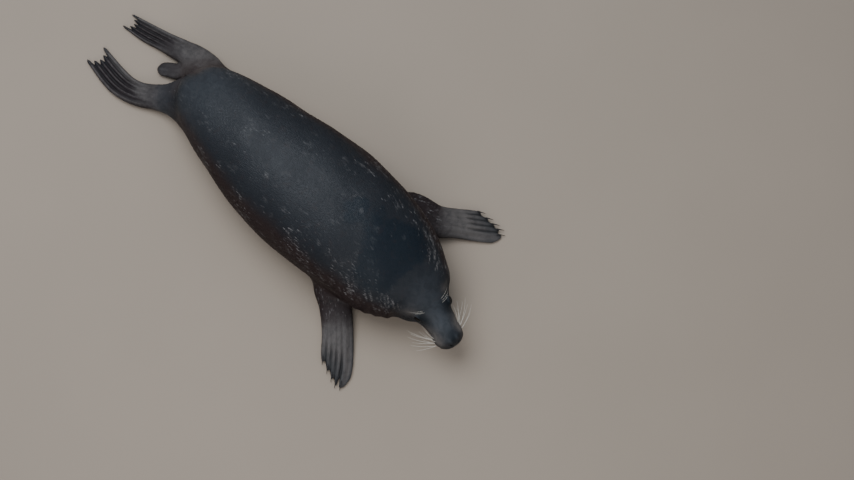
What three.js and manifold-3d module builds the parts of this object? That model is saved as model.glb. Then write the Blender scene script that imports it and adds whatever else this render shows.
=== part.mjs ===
// Grey seal, a young adult about 1.85 m from nose to tail, at rest on its belly: the head is held low and
// turned to the right, the fore flippers are spread and the hind flippers trail. Life size, in millimetres.
// Z is up and the floor is z = 0. The seal faces -Y, so its left side is +X. The origin is the middle of
// the belly's flat. Every form of flesh is a run of rounded sections; they are joined and then parted again
// with thin cuts. Eyes and claws are pieces of their own.
import * as THREE from "three";
import { ParametricGeometry } from "three/addons/geometries/ParametricGeometry.js";
import { mergeVertices } from "three/addons/utils/BufferGeometryUtils.js";
import Module from "manifold-3d";

const wasm = await Module();
wasm.setup();

// ---------- driving sizes ----------
const PARTING = 0.4; // width of the thin cuts between the parts
const CLEARANCE = 0.35; // gap round an eye or a claw
const BIG = 2600; // longer than the whole seal

// A section's row: x, y, z of its centre, its half width, and its reach above and below the centre.
const BODY = {
  rows: [
    { x: 114, y: 664, z: 72, half: 68, up: 56, down: 50 }, // end of the rump
    { x: 100, y: 610, z: 94, half: 118, up: 103, down: 90 }, // hips
    { x: 84, y: 540, z: 114, half: 151, up: 147, down: 118 }, // small of the back
    { x: 55, y: 372, z: 146, half: 205, up: 186, down: 158 }, // loin
    { x: 22, y: 160, z: 168, half: 249, up: 215, down: 186 }, // back
    { x: 4, y: -16, z: 180, half: 276, up: 230, down: 200 }, // barrel
    { x: -6, y: -182, z: 184, half: 286, up: 235, down: 206 }, // widest ribs
    { x: -16, y: -340, z: 184, half: 277, up: 229, down: 206 }, // behind the shoulders
    { x: -33, y: -478, z: 182, half: 260, up: 207, down: 202 }, // shoulders
    { x: -50, y: -592, z: 178, half: 239, up: 177, down: 183 }, // chest
    { x: -60, y: -672, z: 172, half: 208, up: 145, down: 150 }, // base of the neck
    { x: -71, y: -741, z: 166, half: 167, up: 115, down: 117 }, // throat
    { x: -84, y: -789, z: 162, half: 128, up: 97, down: 98 }, // nape
    { x: -95, y: -830, z: 159, half: 89, up: 83, down: 84 }, // crown
    { x: -109, y: -866, z: 157, half: 71, up: 71, down: 75 }, // eyes
    { x: -123, y: -903, z: 154, half: 62, up: 62, down: 67 }, // cheekbones
    { x: -136, y: -941, z: 151, half: 57, up: 54, down: 61 }, // bridge of the muzzle
    { x: -147, y: -977, z: 148, half: 54, up: 47, down: 53 }, // whisker pads
    { x: -156, y: -1007, z: 147, half: 47, up: 42, down: 42 }, // nose
  ],
  topFullness: 2.05,
  bottomFullness: 2.4,
  startRound: 62,
  endRound: 30,
  around: 32,
  rings: { start: 4, middle: [[0.79, 12], [1, 16]], end: 4 },
};

const TAIL = {
  rows: [
    { x: 132, y: 600, z: 62, half: 46, up: 36, down: 36 },
    { x: 138, y: 680, z: 42, half: 44, up: 25, down: 25 },
    { x: 115, y: 745, z: 26, half: 40, up: 17, down: 18 },
    { x: 79, y: 810, z: 12, half: 27, up: 10, down: 13 },
  ],
  topFullness: 2.1,
  bottomFullness: 2.1,
  startRound: 20,
  endRound: 26,
  around: 14,
  rings: { start: 1, middle: [[1, 5]], end: 3 },
};

// Swellings and hollows of the head, on both sides: distance back from the nose, angle above the widest
// line, how far they reach along and around, and how high they stand.
const HEAD_FORMS = [
  { back: 58, angle: -14, along: 30, around: 34, height: 11 }, // whisker pad
  { back: 173, angle: 28, along: 20, around: 20, height: 8 }, // eye
  { back: 182, angle: 58, along: 30, around: 18, height: 5 }, // brow
  { back: 134, angle: 34, along: 20, around: 24, height: -3 }, // hollow in front of the eye
  { back: 205, angle: -18, along: 32, around: 34, height: 5 }, // cheek
  { back: 70, angle: -62, along: 70, around: 16, height: -4 }, // side of the chin
  { back: 2, angle: -80, along: 16, around: 34, height: -14 }, // below the nose, in front of the chin
];

const HEAD_LENGTH = 245; // nose to the cut behind the cheeks
const NECK_LENGTH = 170;
const EYE = { radius: 21, back: 173, angle: 28, stand: 6.5 };
// The mouth in the plane of the head: distances back from the nose and heights above the floor.
const MOUTH = { front: 131, low: 124, lowBack: 60, corner: 142, cornerBack: 118 };
const NOSTRIL = { across: 15, height: 158, lean: 22, half: [2.8, 9, 10] };

// Digits lie across the hand from -1 at the trailing edge to 1 at the leading edge; a digit's reach is a
// share of the hand's length.
const FORE_DIGITS = [
  { across: 0.5, reach: 1.0 },
  { across: 0.14, reach: 0.975 },
  { across: -0.17, reach: 0.88 },
  { across: -0.5, reach: 0.75 },
  { across: -0.84, reach: 0.59 },
];
const HIND_DIGITS = [
  { across: 0.84, reach: 1.0 },
  { across: 0.42, reach: 0.9 },
  { across: 0.0, reach: 0.87 },
  { across: -0.42, reach: 0.91 },
  { across: -0.84, reach: 0.99 },
];
const FORE = {
  digits: FORE_DIGITS,
  handStart: 0.58,
  web: 0.09,
  corner: 0.2,
  groove: 0.35,
  startRound: 40,
  endRound: 18,
  rings: { start: 1, middle: [[1, 8]], end: 3 },
  claw: { length: 40, radius: 4.4, overhang: 14, rootRise: 0.7, tipRise: -0.7 },
};
const HIND = {
  digits: HIND_DIGITS,
  handStart: 0.5,
  web: 0.06,
  corner: 0.05,
  groove: 0.55,
  startRound: 40,
  endRound: 18,
  rings: { start: 1, middle: [[1, 8]], end: 3 },
  claw: { length: 22, radius: 2.8, overhang: -10, rootRise: 0.9, tipRise: 1.35 },
};
// Each flipper: which way its leading edge lies, its rows from inside the flank to the tip, and the plane
// that parts it from the body.
const FLIPPERS = {
  fore_flipper_right: {
    ...FORE,
    leading: 1,
    rows: [
      { x: -130, y: -330, z: 112, half: 100, up: 60, down: 60 }, // shoulder
      { x: -237, y: -410, z: 80, half: 88, up: 50, down: 76 }, // elbow
      { x: -305, y: -478, z: 46, half: 72, up: 37, down: 52 }, // forearm
      { x: -381, y: -546, z: 27, half: 68, up: 27, down: 31 }, // wrist
      { x: -450, y: -598, z: 17, half: 70, up: 19, down: 20 }, // palm
      { x: -519, y: -643, z: 12, half: 71, up: 14, down: 14 }, // knuckles
      { x: -586, y: -678, z: 8, half: 64, up: 9, down: 10 }, // tips
    ],
    cut: { point: [-272, -455, 60], outward: [-0.88, -0.22, -0.42] },
  },
  fore_flipper_left: {
    ...FORE,
    leading: -1,
    rows: [
      { x: 122, y: -398, z: 112, half: 112, up: 64, down: 60 },
      { x: 206, y: -498, z: 80, half: 98, up: 52, down: 76 },
      { x: 253, y: -592, z: 48, half: 74, up: 38, down: 54 },
      { x: 299, y: -657, z: 29, half: 67, up: 28, down: 33 },
      { x: 338, y: -716, z: 18, half: 70, up: 20, down: 22 },
      { x: 377, y: -778, z: 12, half: 71, up: 14, down: 14 },
      { x: 412, y: -830, z: 8, half: 66, up: 9, down: 10 },
    ],
    cut: { point: [228, -560, 60], outward: [0.75, -0.52, -0.42] },
  },
  hind_flipper_right: {
    ...HIND,
    leading: -1,
    rows: [
      { x: 50, y: 540, z: 78, half: 68, up: 56, down: 62 }, // heel, inside the hips
      { x: 26, y: 619, z: 54, half: 66, up: 48, down: 56 }, // ankle
      { x: -2, y: 684, z: 37, half: 58, up: 36, down: 39 }, // instep
      { x: -49, y: 758, z: 26, half: 56, up: 26, down: 28 }, // sole
      { x: -73, y: 842, z: 20, half: 57, up: 20, down: 22 }, // bend
      { x: -69, y: 922, z: 14, half: 59, up: 15, down: 16 }, // knuckles
      { x: -29, y: 1074, z: 8, half: 53, up: 8, down: 9 }, // tips
    ],
    cut: { point: [8, 690, 40], outward: [-0.42, 0.9, 0] },
  },
  hind_flipper_left: {
    ...HIND,
    leading: 1,
    rows: [
      { x: 150, y: 520, z: 78, half: 68, up: 56, down: 62 },
      { x: 202, y: 610, z: 54, half: 62, up: 48, down: 56 },
      { x: 218, y: 688, z: 37, half: 55, up: 36, down: 39 },
      { x: 210, y: 766, z: 26, half: 51, up: 26, down: 28 },
      { x: 196, y: 858, z: 20, half: 47, up: 20, down: 22 },
      { x: 184, y: 952, z: 14, half: 46, up: 15, down: 16 },
      { x: 178, y: 1062, z: 8, half: 38, up: 8, down: 9 },
    ],
    cut: { point: [220, 705, 40], outward: [0.05, 1, 0] },
  },
};
const TAIL_CUT = { point: [122, 716, 30], outward: [-0.22, 0.97, 0] };
const CHEST_CUT = { point: [-10, -250, 0], outward: [-0.04, -1, 0] };
const BELLY_CUT = { point: [35, 250, 0], outward: [-0.12, -0.99, 0] };

const COLOURS = { coat: 0x2b2c31, flipper: 0x56524f, tail: 0x3a3a3c, claw: 0x17161a, eye: 0x0d0b0b };

// ---------- curves and sections ----------
const { clamp, degToRad, radToDeg, mapLinear } = THREE.MathUtils;
const HALF_TURN = Math.PI / 2;

// A shape with the distances along its rows' centres, from the first row.
function measured(shape) {
  const at = [0];
  for (let i = 1; i < shape.rows.length; i++) {
    const [a, b] = [shape.rows[i - 1], shape.rows[i]];
    at.push(at[i - 1] + Math.hypot(b.x - a.x, b.y - a.y, b.z - a.z));
  }
  return { ...shape, at, length: at[at.length - 1] };
}

// One measure of the rows at a distance: a cubic through them, with its slope at a row from the neighbours.
function measure({ rows, at }, key, distance) {
  const last = rows.length - 1;
  let i = 0;
  while (i < last - 1 && distance > at[i + 1]) i++;
  const slope = (k) => {
    const [a, b] = [Math.max(k - 1, 0), Math.min(k + 1, last)];
    return (rows[b][key] - rows[a][key]) / (at[b] - at[a]);
  };
  const span = at[i + 1] - at[i];
  const t = (distance - at[i]) / span;
  const rise = rows[i + 1][key] - rows[i][key];
  const [m, n] = [slope(i) * span, slope(i + 1) * span];
  return rows[i][key] + t * (m + t * (3 * rise - 2 * m - n + t * (m + n - 2 * rise)));
}

// Centre, forward, leftward and upward directions of a section. Forward runs from the first row to the last.
function frameAt(shape, distance) {
  const point = (d) => new THREE.Vector3(...["x", "y", "z"].map((key) => measure(shape, key, d)));
  const forward = point(distance + 1).sub(point(distance - 1)).normalize();
  const left = new THREE.Vector3(0, 0, 1).cross(forward).normalize();
  return { centre: point(distance), forward, left, up: forward.clone().cross(left) };
}

// How far a dome has opened at a distance from its pole, 0 to 1.
const dome = (distance, length) => Math.sqrt(1 - (1 - clamp(distance / length, 0, 1)) ** 2);

const power = (value, exponent) => Math.sign(value) * Math.abs(value) ** exponent;

// Distances of a shape's rings: each end's dome has its rings drawn together towards the pole, and each
// stretch of the middle, which ends at a share of it, has its own count.
function ringDistances({ length, startRound, endRound, rings }) {
  const arc = (i, count) => 1 - Math.cos((i / count) * HALF_TURN);
  const found = [];
  for (let i = 0; i < rings.start; i++) found.push(startRound * arc(i, rings.start));
  let from = 0;
  for (const [to, count] of rings.middle) {
    const middle = length - startRound - endRound;
    for (let i = 0; i < count; i++) found.push(startRound + middle * mapLinear(i, 0, count, from, to));
    from = to;
  }
  for (let i = rings.end; i >= 0; i--) found.push(length - endRound * arc(i, rings.end));
  return found;
}

// Angles of a ring's points: evenly round, or at each digit, web and edge of a flipper, above and below.
function ringAngles({ around, digits, leading }) {
  if (!digits) return Array.from({ length: around + 1 }, (_, i) => (i / around) * 2 * Math.PI);
  const edges = [1, ...digits.map((digit) => digit.across), -1];
  const stops = edges.flatMap((edge, i) => (i ? [(edges[i - 1] + edge) / 2, edge] : [edge]));
  const top = stops.map((across) => Math.acos(across * leading)).sort((a, b) => a - b);
  return [...top, ...top.slice(0, -1).reverse().map((angle) => 2 * Math.PI - angle)];
}

// The point of a section at an angle from its left: a rounded box, a little fuller than an ellipse.
function sectionPoint(shape, distance, angle, swell = 0) {
  const { centre, left, up } = frameAt(shape, distance);
  const opening = dome(distance, shape.startRound) * dome(shape.length - distance, shape.endRound);
  const [c, s] = [Math.cos(angle), Math.sin(angle)];
  const exponent = 2 / (s > 0 ? shape.topFullness : shape.bottomFullness);
  const across = (measure(shape, "half", distance) + swell) * power(c, exponent);
  const rise = (measure(shape, s > 0 ? "up" : "down", distance) + swell) * power(s, exponent);
  return centre.addScaledVector(left, across * opening).addScaledVector(up, rise * opening);
}

// How far the head's forms stand out at a distance back from the nose and an angle.
function headSwell(back, angle) {
  const above = radToDeg(Math.asin(Math.sin(angle)));
  let swell = 0;
  for (const form of HEAD_FORMS) {
    const [a, b] = [(back - form.back) / form.along, (above - form.angle) / form.around];
    swell += form.height * Math.exp(-a * a - b * b);
  }
  return swell;
}

function bodyPoint(body, distance, angle) {
  return sectionPoint(body, distance, angle, headSwell(body.length - distance, angle));
}

// How much of a digit there is at a place across the hand: 1 on a digit, 0 on the web between two.
function digitLift(digits, across) {
  const lifts = digits.map((digit) => Math.cos(clamp((across - digit.across) / 0.22, -1, 1) * HALF_TURN));
  return Math.max(...lifts);
}

// Reach of the hand at a place across it: straight from digit to digit, less the web's notch.
function handReach({ digits, web, corner }, across) {
  const held = clamp(across, digits[digits.length - 1].across, digits[0].across);
  const next = Math.max(1, digits.findIndex((digit) => digit.across <= held));
  const [a, b] = [digits[next - 1], digits[next]];
  const beyond = Math.abs(across - held) / (1 - Math.abs(held));
  const straight = mapLinear(held, a.across, b.across, a.reach, b.reach);
  return straight - (beyond > 0 ? corner * beyond ** 2 : web * (1 - digitLift(digits, across)));
}

// A flipper's point: flattened sections whose hand is drawn out into digits with grooves between them.
function flipperPoint(flipper, plain, angle) {
  const { length, leading, digits } = flipper;
  const across = Math.cos(angle) * leading;
  const hand = length * flipper.handStart;
  const distance = plain < hand ? plain : hand + (plain - hand) * handReach(flipper, across);
  const opening = dome(plain, flipper.startRound) * dome(length - plain, flipper.endRound);
  const { centre, left, up } = frameAt(flipper, distance);
  const inHand = clamp((plain - hand * 0.8) / (length * 0.3), 0, 1);
  const above = Math.sin(angle) > 0;
  const thinning = above ? 1 - flipper.groove * inHand * (1 - digitLift(digits, across)) : 1;
  const half = measure(flipper, "half", distance) * (plain > hand ? 1 : opening);
  const rise = measure(flipper, above ? "up" : "down", distance) * thinning * opening;
  return centre
    .addScaledVector(left, half * Math.cos(angle))
    .addScaledVector(up, rise * power(Math.sin(angle), 0.8));
}

// ---------- solids ----------
// A closed geometry as a solid, its shared corners merged and its collapsed triangles dropped.
function solid(geometry) {
  const bare = new THREE.BufferGeometry().setIndex(geometry.index);
  bare.setAttribute("position", geometry.getAttribute("position"));
  const merged = mergeVertices(bare, 1e-3);
  const corners = Array.from(merged.index.array);
  const kept = [];
  for (let i = 0; i < corners.length; i += 3) {
    const [a, b, c] = corners.slice(i, i + 3);
    if (a !== b && b !== c && a !== c) kept.push(a, b, c);
  }
  const vertProperties = new Float32Array(merged.getAttribute("position").array);
  return new wasm.Manifold(new wasm.Mesh({ numProp: 3, vertProperties, triVerts: new Uint32Array(kept) }));
}

// A closed skin over a shape's rings: pointAt gives the point at a distance and an angle.
function skin(shape, pointAt) {
  const [rings, angles] = [ringDistances(shape), ringAngles(shape)];
  const [along, around] = [rings.length - 1, angles.length - 1];
  const form = (u, v, target) => {
    target.copy(pointAt(shape, rings[Math.round(v * along)], angles[Math.round(u * around)]));
  };
  return solid(new ParametricGeometry(form, around, along));
}

const placed = (geometry, matrix) => solid(geometry.applyMatrix4(matrix));

// A huge block on the outward side of a plane.
function blockBeyond(cut, shift = 0, size = BIG) {
  const outward = new THREE.Vector3(...cut.outward).normalize();
  const turn = new THREE.Quaternion().setFromUnitVectors(new THREE.Vector3(0, 0, 1), outward);
  const centre = new THREE.Vector3(...cut.point).addScaledVector(outward, size / 2 + shift);
  const matrix = new THREE.Matrix4().compose(centre, turn, new THREE.Vector3(1, 1, 1));
  return placed(new THREE.BoxGeometry(size, size, size), matrix);
}

// Largest single body of a solid, which leaves out any sliver at a cut's rim.
function largest(made) {
  const bodies = made.decompose();
  return bodies.reduce((best, next) => (next.volume() > best.volume() ? next : best));
}

function bodyCut(body, back) {
  const { centre, forward } = frameAt(body, body.length - back);
  return { point: centre.toArray(), outward: forward.toArray() };
}

// The head's plane: x forward, y up, z to the left, from the floor below the nose.
function headMatrix(body) {
  const { centre, forward } = frameAt(body, body.length - MOUTH.cornerBack / 2);
  const level = forward.clone().setZ(0).normalize();
  const up = new THREE.Vector3(0, 0, 1);
  const nose = frameAt(body, body.length).centre.setZ(0);
  const axis = new THREE.Vector3(centre.x, centre.y, 0).sub(nose);
  nose.addScaledVector(axis.addScaledVector(level, -axis.dot(level)), 0.5);
  return new THREE.Matrix4().makeBasis(level, up, level.clone().cross(up)).setPosition(nose);
}

// Block below the mouth and in front of its corner, with its faces raised by a gap.
function jawBlock(body, gap) {
  const outline = new THREE.Shape();
  outline.moveTo(BIG / 10, -10);
  outline.lineTo(BIG / 10, MOUTH.front + gap);
  outline.lineTo(0, MOUTH.front + gap);
  outline.quadraticCurveTo(-MOUTH.lowBack, MOUTH.low + gap, -MOUTH.cornerBack - gap, MOUTH.corner + gap);
  outline.lineTo(-MOUTH.cornerBack - gap, -10);
  const across = BIG / 8;
  const block = new THREE.ExtrudeGeometry(outline, { depth: across, bevelEnabled: false, curveSegments: 6 });
  return placed(block.translate(0, 0, -across / 2), headMatrix(body));
}

function nostril(body, side) {
  const { centre, forward, left } = frameAt(body, body.length - 4);
  const ball = new THREE.SphereGeometry(1, 8, 6).scale(...NOSTRIL.half);
  ball.rotateZ(degToRad(-side * NOSTRIL.lean));
  const turn = new THREE.Matrix4().makeBasis(left, new THREE.Vector3(0, 0, 1), forward.setZ(0).normalize());
  turn.setPosition(centre.setZ(NOSTRIL.height).addScaledVector(left, side * NOSTRIL.across));
  return placed(ball, turn);
}

// An eyeball sunk in the head so that only its stand shows above the skin.
function eyeball(body, side, extra) {
  const distance = body.length - EYE.back;
  const angle = degToRad(side > 0 ? EYE.angle : 180 - EYE.angle);
  const at = (d, a) => bodyPoint(body, distance + d, angle + a);
  const outward = at(0, 0.03).sub(at(0, -0.03)).cross(at(2, 0).sub(at(-2, 0))).normalize();
  const centre = at(0, 0).addScaledVector(outward, -(EYE.radius - EYE.stand));
  const ball = new THREE.SphereGeometry(EYE.radius + extra, 10, 6);
  return placed(ball, new THREE.Matrix4().setPosition(centre));
}

// A claw: a bent cone that leaves the top of a digit and comes down to the floor.
function claw(flipper, digit, extra) {
  const { length, radius, overhang, rootRise, tipRise } = flipper.claw;
  const hand = flipper.length * flipper.handStart;
  const end = hand + (flipper.length - hand) * digit.reach;
  const spot = (distance) => {
    const { centre, left } = frameAt(flipper, distance);
    return centre.addScaledVector(left, measure(flipper, "half", distance) * digit.across * flipper.leading);
  };
  const root = spot(end + overhang - length);
  const tip = spot(end + overhang);
  const thickness = measure(flipper, "up", end - length / 2);
  root.z += thickness * rootRise;
  tip.z = Math.max(tip.z + thickness * tipRise, radius + 1);
  const middle = root.clone().lerp(tip, 0.5).add(new THREE.Vector3(0, 0, length * 0.07));
  const bend = new THREE.QuadraticBezierCurve3(root, middle, tip);
  const side = new THREE.Vector3(0, 0, 1).cross(tip.clone().sub(root)).normalize();
  const form = (u, v, target) => {
    const girth = (radius * (1 - 0.8 * v) + extra) * dome(v, 0.25) * dome(1 - v, 0.06);
    const reach = clamp(v, 0, 1) * (1 + (2 * extra) / length) - extra / length;
    const lift = bend.getTangent(clamp(v, 0, 1)).cross(side);
    target.copy(bend.getPoint(reach));
    target.addScaledVector(side, girth * Math.cos(u * 2 * Math.PI));
    target.addScaledVector(lift, girth * 1.15 * Math.sin(u * 2 * Math.PI));
  };
  return solid(new ParametricGeometry(form, 6, 4));
}

// ---------- the seal ----------
const body = measured(BODY);
const tail = measured(TAIL);
const flippers = Object.entries(FLIPPERS).map(([name, flipper]) => [name, measured(flipper)]);
const sides = [["right", -1], ["left", 1]];

const seal = new THREE.Group();

function addMesh(name, made, colour, roughness = 0.5) {
  const { numProp, vertProperties, triVerts } = made.getMesh();
  const geometry = new THREE.BufferGeometry();
  geometry.setAttribute("position", new THREE.BufferAttribute(vertProperties, numProp));
  geometry.setIndex(new THREE.BufferAttribute(triVerts, 1));
  geometry.computeVertexNormals();
  const mesh = new THREE.Mesh(geometry, new THREE.MeshStandardMaterial({ color: colour, roughness }));
  mesh.name = name;
  seal.add(mesh);
}

let flesh = skin(body, bodyPoint).add(skin(tail, (shape, distance, angle) => sectionPoint(shape, distance, angle)));
for (const [, flipper] of flippers) flesh = flesh.add(skin(flipper, flipperPoint));
flesh = flesh.subtract(blockBeyond({ point: [0, 0, 0], outward: [0, 0, -1] }));

for (const [side, sign] of sides) {
  addMesh("eye_" + side, eyeball(body, sign, 0), COLOURS.eye, 0.1);
  flesh = flesh.subtract(eyeball(body, sign, CLEARANCE)).subtract(nostril(body, sign));
}
for (const [name, flipper] of flippers) {
  flipper.digits.forEach((digit, i) => {
    addMesh(name.replace("flipper", "claw") + "_" + (i + 1), claw(flipper, digit, 0), COLOURS.claw, 0.35);
    flesh = flesh.subtract(claw(flipper, digit, CLEARANCE));
  });
}

// Cuts a part off what is left of the flesh, beyond a plane and inside an optional block of its own.
function part(name, cut, colour, within) {
  const beyond = blockBeyond(cut);
  const inside = within ? beyond.intersect(within) : beyond;
  addMesh(name, largest(flesh.intersect(inside)), colour);
  const cleared = blockBeyond(cut, -PARTING);
  flesh = flesh.subtract(within ? cleared.intersect(within) : cleared);
}

// A block round a flipper or the tail, so that its cut leaves the rest of the body alone.
function blockRound(shape) {
  const [a, b] = [frameAt(shape, shape.length * 0.2).centre, frameAt(shape, shape.length).centre];
  const along = b.clone().sub(a).setZ(0);
  const turn = new THREE.Matrix4().makeRotationZ(Math.atan2(along.y, along.x));
  const size = along.length() * 1.6;
  const centre = a.clone().addScaledVector(along.normalize(), size / 2);
  return placed(new THREE.BoxGeometry(size, shape.blockWidth, 600), turn.setPosition(centre));
}

part("tail", TAIL_CUT, COLOURS.tail, blockRound({ ...tail, blockWidth: 110 }));
for (const [name, flipper] of flippers) {
  const blockWidth = name.startsWith("fore") ? 210 : 160;
  part(name, flipper.cut, COLOURS.flipper, blockRound({ ...flipper, blockWidth }));
}
part("lower_jaw", bodyCut(body, MOUTH.cornerBack + 200), COLOURS.coat, jawBlock(body, 0));
part("head", bodyCut(body, HEAD_LENGTH), COLOURS.coat);
part("neck", bodyCut(body, HEAD_LENGTH + NECK_LENGTH), COLOURS.coat);
part("chest", CHEST_CUT, COLOURS.coat);
part("belly", BELLY_CUT, COLOURS.coat);
addMesh("rump", largest(flesh), COLOURS.coat);

export default seal;
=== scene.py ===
"""Grey seal at rest on its belly, life size: one skin, a wet short coat, eyes, claws, whiskers and a plain stage."""

import math

import bpy
import numpy as np
from bpy.props import FloatProperty, FloatVectorProperty, IntProperty, PointerProperty
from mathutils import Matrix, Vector


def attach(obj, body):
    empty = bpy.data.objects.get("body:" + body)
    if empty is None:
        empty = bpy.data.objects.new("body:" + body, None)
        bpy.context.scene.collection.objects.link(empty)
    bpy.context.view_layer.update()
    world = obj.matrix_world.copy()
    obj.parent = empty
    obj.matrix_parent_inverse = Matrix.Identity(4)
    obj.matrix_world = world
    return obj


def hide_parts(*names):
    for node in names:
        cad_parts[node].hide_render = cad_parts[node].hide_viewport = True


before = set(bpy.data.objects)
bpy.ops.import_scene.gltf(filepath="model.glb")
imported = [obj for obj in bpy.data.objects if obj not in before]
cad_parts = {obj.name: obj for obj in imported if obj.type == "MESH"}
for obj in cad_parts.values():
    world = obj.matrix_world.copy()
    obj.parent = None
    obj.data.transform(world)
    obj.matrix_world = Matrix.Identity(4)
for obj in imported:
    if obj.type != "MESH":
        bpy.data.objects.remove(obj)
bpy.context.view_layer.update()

BODY_NAME = "root"
MM = 0.001
TURN = 2 * math.pi
FLOOR_CORNERS, FLOOR_RADIUS, FLOOR_HEIGHT = 96, 16, -0.0004

bl_info = {
    "name": "Grey Seal",
    "version": (1, 0, 0),
    "blender": (4, 5, 0),
    "location": "View3D > Sidebar > Seal",
    "description": "Skin, wet coat, eyes, claws, whiskers and stage of a life-size grey seal",
    "category": "Add Mesh",
}

# ---------- the seal's measures, in millimetres ----------
# Each row: x, y, z of a section's centre, its half width, and its reach above and below the centre.
TRUNK_ROWS = (
    (114, 664, 72, 68, 56, 50),
    (100, 610, 94, 118, 103, 90),
    (84, 540, 114, 151, 147, 118),
    (55, 372, 146, 205, 186, 158),
    (22, 160, 168, 249, 215, 186),
    (4, -16, 180, 276, 230, 200),
    (-6, -182, 184, 286, 235, 206),
    (-16, -340, 184, 277, 229, 206),
    (-33, -478, 182, 260, 207, 202),
    (-50, -592, 178, 239, 177, 183),
    (-60, -672, 172, 208, 145, 150),
    (-71, -741, 166, 167, 115, 117),
    (-84, -789, 162, 128, 97, 98),
    (-95, -830, 159, 89, 83, 84),
    (-109, -866, 157, 71, 71, 75),
    (-123, -903, 154, 62, 62, 67),
    (-136, -941, 151, 57, 54, 61),
    (-147, -977, 148, 54, 47, 53),
    (-156, -1007, 147, 47, 42, 42),
)
TAIL_ROWS = (
    (132, 600, 62, 46, 36, 36),
    (138, 680, 42, 44, 25, 25),
    (115, 745, 26, 40, 17, 18),
    (79, 810, 12, 27, 10, 13),
)
FORE_DIGITS = ((0.5, 1.0), (0.14, 0.975), (-0.17, 0.88), (-0.5, 0.75), (-0.84, 0.59))
HIND_DIGITS = ((0.84, 1.0), (0.42, 0.9), (0.0, 0.87), (-0.42, 0.91), (-0.84, 0.99))
# A kind of flipper: its digits as (place across, reach), where the hand starts, how far the webs and the slits
# between the digits are cut back and the tips rounded, as shares of the hand, how far the corners are drawn in,
# how deep the webs lie, and its claws.
FORE = dict(digits=FORE_DIGITS, hand=0.58, web=0.0, slit=0.12, tip=0.05, corner=0.2, groove=0.35)
FORE.update(claw=dict(length=40, radius=4.0, overhang=13, root=1.1, tip=-0.1, arch=0.12))
# Its skin: where the slits' lines begin and the wrist's wrinkles end as shares of the length, millimetres from
# wrinkle to wrinkle, the pleats' count, how high wrinkles, knuckles and pleats stand and how deep the slits lie, in
# millimetres, how much painted shade lies in slits, wrinkles and pleats, and how brown it is.
FORE.update(slits_from=0.72, wrist_to=0.5, wrinkle_step=17, pleats=38, wrinkle=3.0, knuckle=1.4, pleat=0.2,
            slit_depth=3.0, slit_dark=1.0, wrinkle_dark=0.9, pleat_dark=0.0, brown=0.6)
HIND = dict(digits=HIND_DIGITS, hand=0.5, web=0.06, slit=0.02, tip=0.01, corner=0.05, groove=0.6)
HIND.update(claw=dict(length=22, radius=2.8, overhang=-10, root=0.9, tip=1.35, arch=0.07))
HIND.update(slits_from=0.62, wrist_to=0.62, wrinkle_step=22, pleats=44, wrinkle=1.2, knuckle=0.6, pleat=1.3,
            slit_depth=1.2, slit_dark=0.7, wrinkle_dark=0.3, pleat_dark=0.45, brown=0.9)
FLIPPER_ROWS = {
    "fore_right": (FORE, 1, (
        (-130, -330, 112, 100, 60, 60), (-237, -410, 80, 88, 50, 76), (-305, -478, 46, 72, 37, 52),
        (-381, -546, 27, 68, 27, 31), (-450, -598, 17, 70, 19, 20), (-519, -643, 12, 71, 14, 14),
        (-586, -678, 8, 64, 9, 10))),
    "fore_left": (FORE, -1, (
        (122, -398, 112, 112, 64, 60), (206, -498, 80, 98, 52, 76), (253, -592, 48, 74, 38, 54),
        (299, -657, 29, 67, 28, 33), (338, -716, 18, 70, 20, 22), (377, -778, 12, 71, 14, 14),
        (412, -830, 8, 66, 9, 10))),
    "hind_right": (HIND, -1, (
        (50, 540, 78, 68, 56, 62), (26, 619, 54, 66, 48, 56), (-2, 684, 37, 58, 36, 39),
        (-49, 758, 26, 56, 26, 28), (-73, 842, 20, 57, 20, 22), (-69, 922, 14, 59, 15, 16),
        (-29, 1074, 8, 53, 8, 9))),
    "hind_left": (HIND, 1, (
        (150, 520, 78, 68, 56, 62), (202, 610, 54, 62, 48, 56), (218, 688, 37, 55, 36, 39),
        (210, 766, 26, 51, 26, 28), (196, 858, 20, 47, 20, 22), (184, 952, 14, 46, 15, 16),
        (178, 1062, 8, 38, 8, 9))),
}
# Where a flipper's own grey sets in, as a share of its length, and how pale the fore flippers' hands are.
GREY_FROM = dict(fore_right=0.45, fore_left=0.38, hind_right=0.02, hind_left=0.02)
FORE_PALE = dict(fore_right=0.35, fore_left=0.45)
# Soft patches of the trunk: distance back from the nose in millimetres, angle above the widest line in degrees,
# reach along and around, and height, in millimetres for a swelling and from 0 to 1 for a mark.
HEAD_SWELLS = (
    (58, -14, 30, 34, 11),  # the whiskers' pad
    (173, 28, 20, 20, 8),  # round the eye
    (182, 58, 30, 18, 5),  # brow
    (134, 34, 20, 24, -3),  # hollow in front of the eye
    (205, -18, 32, 34, 5),  # cheek
    (70, -62, 70, 16, -4),  # groove along the jaw
    (2, -80, 16, 34, -14),  # chin, drawn back
)
BLADES, HIPS = (640, 48, 95, 20, 7), (1560, 40, 70, 22, 5)
LEFT_FULL, RIGHT_HOLLOW = (118, 0, 36, 42, 9), (232, 5, 34, 36, 9)
# The nape's blue-black is partly its own colour and partly painted shade on the slope facing away from the light; the
# second patch is painted shade on the shoulders.
NAPE_MARKS = ((435, 90, 110, 55, 1.0), (660, 100, 110, 40, 0.62))
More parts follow.
